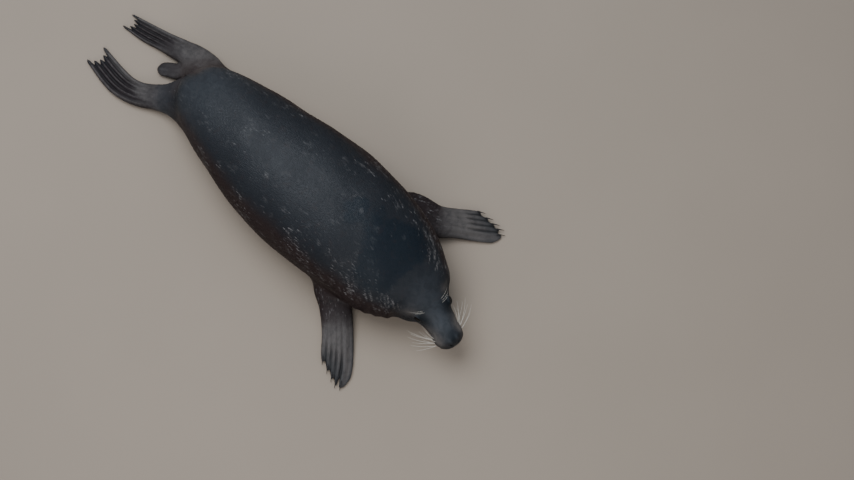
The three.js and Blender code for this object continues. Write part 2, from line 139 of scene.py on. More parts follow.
# Painted highlight of the sky on the wet coat: faint along the back, strong on the muzzle, on the crown, and next on
# the loin.
PAINTED_SHEEN_MARKS = ((1150, 90, 480, 40, 0.12), (95, 90, 75, 70, 1.0), (245, 90, 90, 45, 0.42))
LOIN_PAINTED_SHEEN = (1530, 75, 150, 60, 0.45)
PALE_MARKS = ((216, 36, 22, 16, 0.8), (60, 19, 36, 30, 1.2), (100, 20, 34, 26, 0.5), (90, -60, 80, 40, 0.45))
# Painted light: the left whisker pad alone is drawn paler.
LEFT_PAD_PAINTED_LIGHT = (62, 16, 34, 30, 0.7)
DARK_PATCH_MARKS = ((160, 38, 36, 24, 0.95), (30, 90, 34, 30, 0.75))
# Painted highlights on the wet nose, where the nose's dark is also thinned.
NOSE_PAINTED_GLINT = (22, 70, 12, 9, 1.0)
BROW_FLECKS = (82, 42, 40, 26, 0.7)
FLECK_MARKS = (
    (340, 28, 90, 26, 0.8), (350, 48, 90, 18, 0.5), (285, 36, 70, 22, 0.6), (620, 32, 220, 26, 0.5),
    (1150, 20, 480, 26, 0.2), (300, 90, 130, 38, -0.8))
# Measures that change along the trunk, as distances back from the nose in millimetres and the values there: the
# hair's length and the skin's ring spacing in millimetres, and the pattern's width in metres for a radian.
TRUNK_HAIR = ((0, 30, 120, 200, 300, 430, 600, 1500, 1900), (3.3, 3.6, 4.2, 5.5, 8.0, 12, 14, 15, 10))
TRUNK_SPACING = ((0, 40, 60, 145, 155, 195, 210, 300, 420, 600), (1.2, 1.8, 2.1, 2.1, 1.05, 1.05, 2.4, 4.5, 8, 9.6))
TRUNK_LAY = ((0, 60, 250, 500, 1100, 1900), (0.05, 0.06, 0.1, 0.2, 0.25, 0.1))
LIMB_HAIR = ((0, 0.3, 0.55, 0.85, 1), (14, 12, 9.5, 7.5, 4.5))  # against the share of a flipper's length
EYE = dict(radius=21, back=173, angle=28, stand=5.5)
MOUTH = dict(front=131, low=124, low_back=60, corner=142, corner_back=118)
NOSTRIL = dict(across=20, height=164, lean=34, wide=2.8, tall=11, depth=7)
EAR = dict(back=226, angle=14, wide=3.5, depth=4)
# A pad's rows of whiskers: angle above the widest line, number, distance back of the first and step to the next,
# the fan's middle in degrees back from straight out, and length as a share of the longest.
WHISKER_ROWS = (
    (-30, 2, 54, 16, 66, 0.72),
    (-18, 3, 46, 14, 34, 0.95),
    (-6, 3, 44, 15, 46, 1.1),
    (6, 2, 56, 15, 72, 0.86),
)
BRISTLE_LENGTHS = (0.58, 0.5, 0.46)
MARKS = ("lay", "flank", "nape", "sheen", "pale", "dusk", "crease", "bare", "fleck", "limb")
# In metres: the shortest hair that has tufts, and how high above the floor their roots and their points begin.
SHORTEST_HAIR, LOWEST_ROOT, LOWEST_TUFT = 0.0018, 0.003, 0.0004
# Turns of evening out: of the seams' points, of filling at the rump and between looks at the normals there, of the
# colours and of the hair's lie over the seams, and the share of its way that a point goes in one turn.
SEAM_TURNS, FILL_TURNS, FILL_REFRESH, MARK_TURNS, LIE_TURNS, STEP = 70, 900, 30, 110, 12, 0.6
FLESH = ("head", "lower_jaw", "neck", "chest", "belly", "rump", "tail", "fore_flipper_left",
         "fore_flipper_right", "hind_flipper_left", "hind_flipper_right")


# ---------- curves and sections ----------
def smooth(value):
    """0 below 0, 1 above 1, and the cubic 3t^2 - 2t^3 between."""
    t = np.clip(value, 0, 1)
    return t * t * (3 - 2 * t)


def bell(value, width, other=0.0, other_width=1.0):
    """exp(-(value / width)^2 - (other / other_width)^2): 1 in the middle, falling away on all sides."""
    return np.exp(-((value / width) ** 2) - (other / other_width) ** 2)


def power(value, exponent):
    """|value|^exponent with the sign of the value."""
    return np.sign(value) * np.abs(value) ** exponent


def unit(vectors):
    """Vectors made one long."""
    return vectors / np.maximum(np.linalg.norm(vectors, axis=-1, keepdims=True), 1e-12)


def dome(distance, length):
    """How far a rounded end has opened: a quarter circle over its length, then 1."""
    return np.sqrt(1 - (1 - np.clip(distance / length, 0, 1)) ** 2)


class Form:
    """A run of sections along a bent line: a row's measures go over into the next row's by a cubic."""

    def __init__(self, rows, start_round, end_round, leading=1, **kind):
        self.rows = np.array(rows, float) * MM
        gaps = np.linalg.norm(np.diff(self.rows[:, :3], axis=0), axis=1)
        self.at = np.concatenate([[0.0], np.cumsum(gaps)])
        self.length = float(self.at[-1])
        self.start_round, self.end_round = start_round * MM, end_round * MM
        self.leading, self.kind = leading, kind

    def measure(self, distance):
        """All six measures at distances along the centres: a cubic with each row's slope from its neighbours."""
        distance = np.asarray(distance, float)
        last = len(self.at) - 1
        low, high = np.maximum(np.arange(last + 1) - 1, 0), np.minimum(np.arange(last + 1) + 1, last)
        slopes = (self.rows[high] - self.rows[low]) / (self.at[high] - self.at[low])[:, None]
        i = np.clip(np.searchsorted(self.at[1:], distance), 0, last - 1)
        span = (self.at[i + 1] - self.at[i])[..., None]
        t = (distance - self.at[i])[..., None] / span
        rise = self.rows[i + 1] - self.rows[i]
        m, n = slopes[i] * span, slopes[i + 1] * span
        return self.rows[i] + t * (m + t * (3 * rise - 2 * m - n + t * (m + n - 2 * rise)))

    def directions(self, distance):
        """Forward along the centres, level leftward, and upward, at distances."""
        distance = np.asarray(distance, float)
        forward = unit(self.measure(distance + MM)[..., :3] - self.measure(distance - MM)[..., :3])
        left = unit(np.cross(np.array([0.0, 0.0, 1.0]), forward))
        return forward, left, np.cross(forward, left)

    def opening(self, distance):
        """How far the section at a distance has opened from the rounded ends."""
        return dome(distance, self.start_round) * dome(self.length - distance, self.end_round)


def section(form, distance, angle, swell=0.0, top=2.05, bottom=2.4):
    """Centre + left * (half + swell) * |cos|^(2/n) + up * (reach + swell) * |sin|^(2/n), times the ends' domes."""
    rows = form.measure(distance)
    _, left, up = form.directions(distance)
    c, s = np.cos(angle), np.sin(angle)
    exponent = np.where(s > 0, 2 / top, 2 / bottom)
    reach = np.where(s > 0, rows[..., 4], rows[..., 5])
    opening = form.opening(distance)
    across = (rows[..., 3] + swell) * power(c, exponent) * opening
    rise = (reach + swell) * power(s, exponent) * opening
    return rows[..., :3] + left * across[..., None] + up * rise[..., None]


def above_of(angle):
    """Angle above the widest line in degrees, the same on both sides."""
    return np.degrees(np.arcsin(np.clip(np.sin(angle), -1, 1)))


def patches(back, above, *rows):
    """The sum of soft round patches, each its height times a bell of the distance back and the angle above."""
    return sum(height * bell(back / MM - at, along, above - angle, around) for at, angle, along, around, height in rows)


def trunk_point(form, distance, angle):
    """The trunk's section with the head's swellings on it."""
    return section(form, distance, angle, MM * patches(form.length - distance, above_of(angle), *HEAD_SWELLS))


def digit_lift(digits, across):
    """1 on a digit's middle, falling by a quarter cosine to 0 on the webs."""
    places = np.array([d[0] for d in digits])
    away = np.clip((across[..., None] - places) / 0.22, -1, 1)
    return np.cos(away * math.pi / 2).max(-1)


def digit_gap(digits, across, width=0.04):
    """1 halfway between two digits, falling away as exp(-(d / width)^2)."""
    places = np.array([d[0] for d in digits])
    middles = (places[1:] + places[:-1]) / 2
    return bell(across[..., None] - middles, width).max(-1)


def hand_reach(kind, across):
    """Reach of the hand's end: a step from digit to digit, less the web's notch, the slit between digits, the
    rounding of each tip and that of the corners."""
    places = np.array([d[0] for d in kind["digits"]])[::-1]
    reaches = np.array([d[1] for d in kind["digits"]])[::-1]
    held = np.clip(across, places[0], places[-1])
    i = np.clip(np.searchsorted(places, held) - 1, 0, len(places) - 2)
    t = (held - places[i]) / (places[i + 1] - places[i])
    step = reaches[i] + (reaches[i + 1] - reaches[i]) * smooth((t - 0.38) / 0.24)
    round_tip = kind["tip"] * (1 - np.sqrt(np.maximum(1 - (1 - np.abs(2 * t - 1)) ** 2, 0)))
    cut = kind["web"] * (1 - digit_lift(kind["digits"], across)) + kind["slit"] * digit_gap(kind["digits"], across)
    beyond = np.abs(across - held) / np.maximum(1 - np.abs(held), 1e-6)
    return step - np.where(beyond > 0, kind["corner"] * beyond ** 2.4, cut + round_tip)


def flipper_point(form, plain, angle):
    """A flattened section whose hand is drawn out into digits, with thinner webs between them."""
    kind = form.kind
    across = np.cos(angle) * form.leading
    hand = form.length * kind["hand"]
    distance = np.where(plain < hand, plain, hand + (plain - hand) * hand_reach(kind, across))
    opening = form.opening(plain)
    rows = form.measure(distance)
    _, left, up = form.directions(distance)
    in_hand = np.clip((plain - hand * 0.8) / (form.length * 0.3), 0, 1)
    above = np.sin(angle) > 0
    lift = digit_lift(kind["digits"], across)
    thinning = np.where(above, 1 - kind["groove"] * in_hand * (1 - lift), 1)
    half = rows[..., 3] * np.where(plain > hand, 1, opening)
    rise = np.where(above, rows[..., 4], rows[..., 5]) * thinning * opening
    out = left * (half * np.cos(angle))[..., None]
    return rows[..., :3] + out + up * (rise * power(np.sin(angle), 0.8))[..., None]


# ---------- grids ----------
def spread(weights, places, count):
    """Count places whose spacing follows one over the weights: equal steps of the running sum of weights."""
    total = np.concatenate([[0.0], np.cumsum((weights[1:] + weights[:-1]) / 2 * np.diff(places))])
    return np.interp(np.linspace(0, total[-1], count), total, places)


def trunk_angles(count):
    """Angles round the trunk from its underside: drawn together at the eyes and apart under the belly."""
    a = np.linspace(-90, 270, 1441)
    above = above_of(np.radians(a))
    weights = 1 + 2.0 * bell(above - EYE["angle"], 11) - 0.5 * smooth((-25 - above) / 15)
    return np.radians(spread(weights, a, count + 1)[:-1])


def flipper_angles(half_count):
    """Angles round a flipper: across the hand evenly, and drawn together at its edges."""
    i = np.arange(half_count + 1) / half_count
    top = np.arccos(np.clip(0.4 * np.cos(math.pi * i) + 0.6 * (1 - 2 * i), -1, 1))
    return np.concatenate([top, (TURN - top)[-2:0:-1]])


def drawn_to_poles(form, places, reach):
    """Draws distances together at both ends as a circle's are: even steps squared, over a share of the rounding."""
    for at_end, rounding in ((False, form.start_round * reach), (True, form.end_round * reach)):
        near = (form.length - places if at_end else places) < rounding
        inner = rounding * (np.arange(near.sum()) / near.sum()) ** 2
        places[near] = (form.length - inner)[::-1] if at_end else inner
    return places


def trunk_distances(form, count):
    """Distances along the trunk: about 1 mm apart at the eyes, 2 mm on the muzzle and 10 mm on the belly."""
    d = np.linspace(0, form.length, 4000)
    spacing = np.where(d < form.start_round, 4, np.interp((form.length - d) / MM, *TRUNK_SPACING))
    return drawn_to_poles(form, spread(1 / spacing, d, count), 0.25)


def plain_distances(form, count, hand=0.0):
    """Even distances, closer over a hand."""
    d = np.linspace(0, form.length, 400)
    return drawn_to_poles(form, spread(1 + hand * smooth((d / form.length - 0.6) / 0.2), d, count), 0.5)


def grid_normals(points):
    """Outward unit normals of a closed grid: the step round it crossed with the step along it."""
    around = np.roll(points, -1, 1) - np.roll(points, 1, 1)
    return unit(np.cross(around, np.gradient(points, axis=0)))


def closed_faces(rings, columns, flat_end=False):
    """Corners of a closed grid: a fan from the single point of its first ring, quads, and a fan to the single
    point of its last ring, or a strip across it where the end is flat, as a hand's is."""
    kept = rings - 1 if flat_end else rings - 2
    ring = 1 + np.arange(kept * columns).reshape(kept, columns)
    after = np.roll(ring, -1, 1)
    quads = np.stack([ring[:-1], after[:-1], after[1:], ring[1:]], -1).reshape(-1, 4)
    start = np.stack([np.zeros(columns, int), after[0], ring[0]], 1)
    if flat_end:
        end, half = ring[-1], columns // 2
        j = np.arange(1, half - 1)
        strip = np.stack([end[j], end[j + 1], end[columns - j - 1], end[columns - j]], 1)
        tips = np.array([[end[0], end[1], end[-1]], [end[half - 1], end[half], end[half + 1]]])
        return np.vstack([quads, strip]), np.vstack([start, tips])
    return quads, np.vstack([start, np.stack([ring[-1], after[-1], np.full(columns, 1 + kept * columns)], 1)])


def closed_rows(values, flat_end=False):
    """A grid's values in the order of its mesh's points: one for each single point and all between."""
    if flat_end:
        return np.concatenate([values[0, :1], values[1:].reshape((-1,) + values.shape[2:])])
    inner = values[1:-1].reshape((-1,) + values.shape[2:])
    return np.concatenate([values[0, :1], inner, values[-1, :1]])


def placed(mesh):
    """A mesh's object at the origin."""
    thing = bpy.data.objects.new(mesh.name, mesh)
    bpy.context.scene.collection.objects.link(thing)
    return thing


def add_mesh(name, points, *faces):
    """A smooth mesh object from points and arrays of faces with the same number of corners."""
    mesh = bpy.data.meshes.new(name)
    mesh.vertices.add(len(points))
    mesh.vertices.foreach_set("co", np.asarray(points, np.float32).ravel())
    corners = np.concatenate([f.ravel() for f in faces]).astype(np.int32)
    sizes = np.concatenate([np.full(len(f), f.shape[1]) for f in faces])
    mesh.loops.add(len(corners))
    mesh.loops.foreach_set("vertex_index", corners)
    mesh.polygons.add(len(sizes))
    mesh.polygons.foreach_set("loop_start", np.concatenate([[0], np.cumsum(sizes)[:-1]]).astype(np.int32))
    mesh.update(calc_edges=True)
    mesh.validate()
    mesh.shade_smooth()
    return placed(mesh)


def read(items, name, width, kind=np.float32):
    """One property of all of a mesh's points, edges, corners or triangles, a row of numbers for each."""
    values = np.zeros(len(items) * width, kind)
    items.foreach_get(name, values)
    return values.reshape(-1, width).astype(float if kind is np.float32 else kind)


def store(mesh, name, values):
    """Keeps a number or a vector for each point of a mesh, for its material to read."""
    kind = "FLOAT" if values.ndim == 1 else "FLOAT_VECTOR"
    attribute = mesh.attributes.new(name, kind, "POINT")
    attribute.data.foreach_set("value" if kind == "FLOAT" else "vector", np.asarray(values, np.float32).ravel())


def finished(thing, material, nodes=()):
    """Gives a piece its material and its body, and hides the solids that it stands for."""
    thing.data.materials.clear()
    thing.data.materials.append(material)
    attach(thing, BODY_NAME)
    if nodes:
        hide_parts(*nodes)
    return thing


# ---------- forms ----------
TRUNK = Form(TRUNK_ROWS, 96, 30)
TAIL = Form(TAIL_ROWS, 20, 26)
FLIPPERS = {name: Form(rows, 40, 18, leading, **kind) for name, (kind, leading, rows) in FLIPPER_ROWS.items()}


def place_on_head(back, angle):
    """Point and outward direction of the trunk at a distance back from the nose and an angle, in mm and degrees."""
    d, a = TRUNK.length - back * MM, math.radians(angle)
    at = lambda dd, da: trunk_point(TRUNK, np.array(d + dd), np.array(a + da))
    outward = unit(np.cross(at(0, 0.03) - at(0, -0.03), at(2 * MM, 0) - at(-2 * MM, 0)))
    return at(0, 0), outward


def side_angle(side, angle):
    """The angle round the trunk of a place at an angle above the widest line, on the left for 1, the right for -1."""
    return angle if side > 0 else 180 - angle


def eye_place(side):
    """Centre of an eyeball and the direction that it looks in: sunk so that only its stand shows."""
    point, outward = place_on_head(EYE["back"], side_angle(side, EYE["angle"]))
    return point - outward * (EYE["radius"] - EYE["stand"]) * MM, outward


def nose_place():
    """The middle between the nostrils, on the nose's front."""
    middle = TRUNK.measure(TRUNK.length)[:3].copy()
    middle[2] = (NOSTRIL["height"] - 3) * MM
    return middle


def mouth_plane():
    """Nose point on the floor plan and the level forward direction of the head."""
    middle = TRUNK.length - MOUTH["corner_back"] / 2 * MM
    forward, _, _ = TRUNK.directions(middle)
    level = unit(forward * np.array([1, 1, 0]))
    return TRUNK.measure(TRUNK.length)[:3] * np.array([1, 1, 0]), level


def mouth_height(back):
    """Height of the mouth's line at a level distance back from the nose, all in metres: a quadratic curve."""
    t = np.linspace(0, 1, 40)
    x = 2 * (1 - t) * t * MOUTH["low_back"] + t * t * MOUTH["corner_back"]
    z = (1 - t) ** 2 * MOUTH["front"] + 2 * (1 - t) * t * MOUTH["low"] + t * t * MOUTH["corner"]
    return np.interp(back, x * MM, z * MM)


def whisker_roots():
    """Each of a pad's whiskers: distance back from the nose, angle above the widest line, row, angle back from
    straight out, and length as a share of the longest."""
    return [(start + step * i + 2.5 * (row % 2), above, row, middle + 13 * (i - (count - 1) / 2), length)
            for row, (above, count, start, step, middle, length) in enumerate(WHISKER_ROWS) for i in range(count)]


# Each of these gives how far a feature of the face stands out, in millimetres, and the painted shade in its creases.
def eye_lids(points, back, side):
    """A rim over the ball round the slit, a fold above it and the inner corner: u runs forward and v up from the
    eye's middle in millimetres, and slit = sqrt((u / 13)^2 + (v / 8)^2) is 1 on the lids' edge."""
    centre, outward = eye_place(side)
    forward, _, _ = TRUNK.directions(TRUNK.length - EYE["back"] * MM)
    ahead = unit(forward - outward * (forward @ outward))
    rise = np.cross(outward, ahead) * side
    away = points - centre
    u, v, out = away @ ahead / MM + 1.5, away @ rise / MM, away @ outward
    slit = np.sqrt((u / 13) ** 2 + (v / np.where(v > 0, 8, 8.5)) ** 2)
    across = np.sqrt(u * u + v * v)
    ball = np.sqrt(np.maximum((EYE["radius"] + 3.3) ** 2 - across ** 2, 0)) - out / MM
    lid = smooth((slit - 0.9) / 0.16) * smooth((2.5 - slit) / 0.9)
    fold = bell(slit - 2.3, 0.16) * (v > -4)
    corner = bell(u - 17, 5, v + 3, 2.2)
    lift = lid * np.maximum(ball, 1.5) - 3.5 * smooth((0.98 - slit) / 0.14) - 1.6 * fold - 2.2 * corner
    facing = (out > 0) & (back < 0.45)
    # The second value: the lids' dark margin, partly their own colour and partly painted shade, and painted shade in
    # the fold above and in the inner corner.
    return np.where(facing, lift, 0), np.where(facing, bell(slit - 1.0, 0.17) + 0.5 * fold + corner, 0)


def nostril(points, back, side):
    """A leaning slot in the nose's front with a raised wing along both of its edges: a runs across it, b along."""
    distance = TRUNK.length - 4 * MM
    forward, left, _ = TRUNK.directions(distance)
    nose = TRUNK.measure(distance)[:3].copy()
    nose[2] = NOSTRIL["height"] * MM
    away = points - nose - left * side * NOSTRIL["across"] * MM
    across, rise = away @ left / MM * side, away[..., 2] / MM
    lean = math.radians(NOSTRIL["lean"])
    a = across * math.cos(lean) - rise * math.sin(lean)
    b = across * math.sin(lean) + rise * math.cos(lean)
    slot = bell(a, NOSTRIL["wide"], b, NOSTRIL["tall"]) * (away @ forward > -0.034)
    wing = bell(np.abs(a) - 5.5, 2.6, b, 11) * (away @ forward > -0.036)
    near = back < 0.05
    # Painted shade in the slot.
    return np.where(near, 1.3 * wing - NOSTRIL["depth"] * slot, 0), np.where(near, 1.3 * slot, 0)


def ear_opening(points, side):
    """A small hole with a low rim, and painted shade in the hole."""
    hole, _ = place_on_head(EAR["back"], side_angle(side, EAR["angle"]))
    away = np.linalg.norm((points - hole) * np.array([1, 0.7, 1]), axis=-1) / MM
    return 1.4 * bell(away - 6, 2.5) - EAR["depth"] * bell(away, EAR["wide"]), bell(away, 4.2)


def whisker_pit(points, side, back, angle):
    """A whisker's root: a low round rise, with painted shade in its middle."""
    root, _ = place_on_head(back, side_angle(side, angle))
    away = np.linalg.norm(points - root, axis=-1) / MM
    return 0.9 * bell(away, 2.6), 0.55 * bell(away, 1.7)


def mouth_line(points, back):
    """The closed mouth: a groove along its curve with a lip above and below, and painted shade in the groove."""
    nose, level = mouth_plane()
    behind = (nose - points) @ level
    gap = (points[..., 2] - mouth_height(behind)) / MM
    inside = smooth((behind + 0.02) / 0.01) * smooth((0.124 - behind) / 0.02) * (back < 0.16)
    line = bell(gap, 1.7) * inside
    lips = (1.3 * bell(gap - 5, 3.6) + bell(gap + 4.6, 3.2)) * inside
    return lips - 3.0 * line, 1.1 * line


def face_relief(points, back, angle):
    """How far the head's skin stands out or in for its features, and the painted shade in its creases."""
    features = []
    for side in (1, -1):
        features += [eye_lids(points, back, side), nostril(points, back, side), ear_opening(points, side)]
        features += [whisker_pit(points, side, *root[:2]) for root in whisker_roots()]
    features.append(mouth_line(points, back))
    relief, crease = np.zeros(points.shape[:2]), np.zeros(points.shape[:2])
    for lift, dark in features:
        relief += lift * MM
        crease = np.maximum(crease, dark)
    relief -= MM * bell(above_of(angle) - 90, 7) * smooth((0.012 - np.abs(back - 0.004)) / 0.01)
    return relief, np.clip(crease, 0, 1)


def body_relief(back, angle):
    """Folds of the neck, shoulder blades, the uneven lie of the fat, hips, a shallow line over the spine and the
    fuller and hollower side of the turned head, all soft waves and patches."""
    above, left = above_of(angle), np.cos(angle)
    b = back / MM
    in_neck = smooth((b - 235) / 70) * smooth((560 - b) / 120)
    inner = smooth((-left + 0.15) / 0.7)
    wave = np.sin(b / 46 * TURN + 1.1 * np.sin(angle * 2) + 0.6 * left)
    folds = in_neck * (0.3 + 1.1 * inner) * wave * smooth((60 - above) / 40)
    fat = 2.4 * np.sin(b / 310 * TURN + 2 * angle) * np.sin(3 * angle + b / 170) + 1.3 * np.sin(b / 97 + 5 * angle)
    fat = fat * smooth((b - 300) / 200)
    spine = -2.5 * bell(above - 90, 9) * smooth((b - 500) / 200)
    turned = patches(back, above, LEFT_FULL) * smooth(left / 0.4)
    turned = turned - patches(back, above, RIGHT_HOLLOW) * smooth(-left / 0.4)
    return (folds + patches(back, above, BLADES) + fat + patches(back, above, HIPS) + spine + turned) * MM


def trunk_grid(rings, columns):
    """The trunk's skin with its relief, and what its material and coat need to know at every point."""
    distance = trunk_distances(TRUNK, rings)[:, None]
    angle = trunk_angles(columns)[None, :]
    points = trunk_point(TRUNK, distance, angle)
    distance, angle = np.broadcast_arrays(distance, angle)
    back = TRUNK.length - distance
    relief, crease = face_relief(points, back, angle)
    relief = (relief + body_relief(back, angle)) * smooth(distance / 0.03)
    points = points + grid_normals(points) * relief[..., None]
    return points, trunk_marks(points, distance, angle, crease)


def trunk_marks(points, distance, angle, crease):
    """The trunk's marks: how the coat lies and how long it is, and how much of each colour there is, painted highlights
    and painted shade among them.
    """
    back = TRUNK.length - distance
    b, above, left = back / MM, above_of(angle), np.cos(angle)
    zero = np.zeros_like(back)
    forward, _, _ = TRUNK.directions(distance)
    share = np.arange(angle.shape[1]) / angle.shape[1]
    leather = smooth((25 - np.linalg.norm(points - nose_place(), axis=-1) / MM) / 6)
    brown = smooth((b - 1550) / 90) * smooth((left + 0.15) / 0.4)
    rump = smooth((b - 1480) / 120) * smooth(-left / 0.3)
    painted_glint = patches(back, above, NOSE_PAINTED_GLINT)
    flank = smooth((0.86 - np.sin(angle)) / 0.75) * smooth((b - 190) / 120) * (1 - 0.7 * rump) + brown
    # Painted highlight of the sky on the wet back, muzzle, crown and loin, and painted highlights on the nose.
    sheen = patches(back, above, *PAINTED_SHEEN_MARKS) + patches(back, above, LOIN_PAINTED_SHEEN) * (1 - brown) + 0.7 * painted_glint
    pale = patches(back, above, *PALE_MARKS) + patches(back, above, LEFT_PAD_PAINTED_LIGHT) * smooth(left / 0.4) + 0.4 * brown
    fleck = smooth((b - 205) / 60) * np.clip(0.42 + patches(back, above, *FLECK_MARKS), 0, 1.3)
    return {
        "lay": np.stack([back, angle * np.interp(b, *TRUNK_LAY), zero], -1),
        "lie": np.broadcast_to(-forward, points.shape),
        "unwrap": np.stack([np.broadcast_to(0.02 + 0.96 * share, back.shape), 0.02 + 0.6 * distance / TRUNK.length,
                            zero], -1),
        "hair": np.interp(b, *TRUNK_HAIR) * MM * (1 - smooth(crease * 1.6)) * (1 - leather),
        "flank": np.clip(flank, 0, 1),
        "nape": patches(back, above, *NAPE_MARKS),
        "sheen": np.clip(sheen, 0, 1),
        "pale": np.clip(pale, 0, 1.6),
        "dusk": np.clip(patches(back, above, *DARK_PATCH_MARKS) + leather, 0, 1) * (1 - 0.6 * painted_glint),
        "crease": crease,
        "bare": leather,
        "fleck": patches(back, above, BROW_FLECKS) + fleck,
        "limb": zero,
    }


def limb_marks(form, distance, angle, island, start, hair, crease):
    """The marks of a flipper or the tail before its own are set: island is its place on the unwrapped sheet, and
    its own grey sets in at start, a share of its length."""
    forward, _, _ = form.directions(distance)
    share, zero = distance / form.length, np.zeros_like(distance)
    around = np.arange(angle.shape[1]) / angle.shape[1]
    rim = smooth((np.abs(np.cos(angle)) - 0.72) / 0.2)
    marks = {name: zero for name in MARKS}
    marks.update(
        lay=np.stack([distance, np.cos(angle) * 0.075, zero + 1 + island], -1),
        lie=np.broadcast_to(forward, distance.shape + (3,)),
        unwrap=np.stack([np.broadcast_to(0.02 + 0.2 * island + 0.17 * around, distance.shape), 0.66 + 0.32 * share,
                         zero], -1),
        hair=hair, crease=crease, pale=0.55 * rim * smooth((share - 0.4) / 0.3),
        bare=smooth((share - start) / 0.16), limb=smooth((share - start) / 0.14))
    return marks


def tail_grid(rings, columns):
    """The short tail: a flat leaf with a low ridge along its middle and a dark line behind it."""
    distance = plain_distances(TAIL, rings)[:, None]
    angle = (np.arange(columns) / columns * TURN - math.pi / 2)[None, :]
    distance, angle = np.broadcast_arrays(distance, angle)
    points = section(TAIL, distance, angle, 0.0, 2.1, 2.1)
    across, share = np.abs(np.cos(angle)), distance / TAIL.length
    ridge = 1.6 * bell(np.cos(angle), 0.25) - 0.8 * bell(across - 0.55, 0.18)
    relief = ridge * MM * smooth(distance / 0.05) * smooth((TAIL.length - distance) / 0.05)
    points = points + grid_normals(points) * relief[..., None]
    marks = limb_marks(TAIL, distance, angle, 4, 0.3, np.full(share.shape, 6 * MM), np.zeros(share.shape))
    marks["flank"] = np.full(share.shape, 0.9)
    marks["fleck"] = np.full(share.shape, 0.5)
    marks["bare"] = 0.35 * marks["bare"]
    marks["pale"] = marks["pale"] + 0.42 * smooth((0.55 - share) / 0.15)
    marks["dusk"] = 0.65 * smooth((0.8 - across) / 0.2) * smooth((share - 0.55) / 0.15)
    return points, marks


def flipper_grid(name, island, rings, half_columns):
    """A flipper's skin: its digits and webs, wrinkles over the wrist, and pleats along the webs."""
    form = FLIPPERS[name]
    kind, fore = form.kind, name.startswith("fore")
    plain = plain_distances(form, rings, 1.0)[:, None]
    plain[-1] -= 0.02 * MM
    plain, angle = np.broadcast_arrays(plain, flipper_angles(half_columns)[None, :])
    points = flipper_point(form, plain, angle)
    share, across = plain / form.length, np.cos(angle) * form.leading
    top = smooth(np.sin(angle) / 0.35)
    lift = digit_lift(kind["digits"], across)
    hand = smooth((share - kind["hand"] + 0.12) / 0.25)
    web = (1 - lift) * hand
    knuckle = bell(share - 0.74, 0.035) + 0.7 * bell(share - 0.88, 0.028)
    slit = digit_gap(kind["digits"], across, 0.06) * smooth((share - kind["slits_from"]) / 0.16)
    wrist = smooth((share - 0.3) / 0.06) * smooth((kind["wrist_to"] - share) / 0.08)
    bend = share * form.length / MM + 5 * np.sin(across * 3.1 + island) + 2 * np.sin(across * 9)
    wrinkle = np.abs(np.sin(bend / kind["wrinkle_step"] * math.pi)) ** 0.5 - 0.8
    pleat = np.sin(across * kind["pleats"] + 0.8 * np.sin(share * 14))
    relief = wrist * wrinkle * kind["wrinkle"] * smooth((0.96 - np.abs(across)) / 0.2)
    relief = relief + lift * hand * knuckle * kind["knuckle"]
    relief = relief + pleat * web * kind["pleat"] - slit * kind["slit_depth"]
    relief = relief * top * smooth((1 - share) / 0.04)
    points = points + grid_normals(points) * (relief * MM * smooth((share - 0.1) / 0.1))[..., None]
    # Painted shade in the slits between the digits, the wrist's wrinkles and the folds between the webs' pleats.
    crease = np.clip(slit * kind["slit_dark"] * top
                     + wrist * top * smooth((-wrinkle - 0.2) / 0.4) * kind["wrinkle_dark"]
                     + kind["pleat_dark"] * web * smooth(-pleat) * top, 0, 1)
    hair = np.interp(share, *LIMB_HAIR) * MM * (1 - 0.9 * slit)
    if not fore:
        hair = hair * (1 - 0.6 * web)
    hair = hair * smooth((np.sin(angle) + 0.35) / 0.3)
    wrist_at = form.length * kind["hand"]
    distance = np.where(share < kind["hand"], plain, wrist_at + (plain - wrist_at) * hand_reach(kind, across))
    start = GREY_FROM[name]
    marks = limb_marks(form, distance, angle, island, start, hair, crease)
    marks["flank"] = np.full(share.shape, kind["brown"])
    marks["bare"] = 0.9 * marks["bare"]
    if fore:
        slits = digit_gap(kind["digits"], across, 0.19) * smooth((share - 0.76) / 0.14)
        marks["fleck"] = smooth((start + 0.12 - share) / 0.1) + 0.2
        marks["pale"] = np.clip(FORE_PALE[name] * smooth((share - 0.42) / 0.2) + 0.35 * lift * hand, 0, 1)
        # Painted shadow along the leading edge, painted shade in the slits between the digits, and darker tips.
        marks["dusk"] = np.clip(0.5 * smooth((across - 0.86) / 0.1) * hand
                                + 0.75 * slits + 0.5 * smooth((share - 0.93) / 0.05), 0, 0.9)
        return points, marks
    left = -np.cos(angle)
    outer = bell(left - 0.84, 0.26) + 0.5 * bell(left + 0.9, 0.1)
    rib = np.maximum(smooth((pleat - 0.7) / 0.25) * web, 0.8 * smooth((lift - 0.93) / 0.05))
    webbed = smooth((share - 0.5 + 0.2 * smooth(-left / 0.8)) / 0.1) * (1 - np.clip(outer, 0, 1))
    marks["fleck"] = np.full(share.shape, 0.2)
    marks["pale"] = np.clip((0.55 * outer * hand + 0.32 * rib * webbed) * smooth((1 - share) / 0.1), 0, 1)
    marks["bare"] = marks["bare"] * (1 - 0.85 * webbed * (1 - 0.6 * rib)) * 0.85
    marks["dusk"] = 0.35 * webbed * (1 - rib) + 0.4 * smooth((share - 0.9) / 0.08)
    if name == "hind_right":
        root = smooth((0.42 - share) / 0.2)
        marks["flank"] = marks["flank"] * (1 - 0.8 * root)
        # Painted highlight of the wet rump, running onto this flipper's root.
        marks["sheen"] = 0.75 * root
        marks["bare"] = marks["bare"] * (1 - 0.55 * root)
    else:
        marks["pale"] = marks["pale"] + 0.42 * smooth((0.42 - share) / 0.15)
    return points, marks


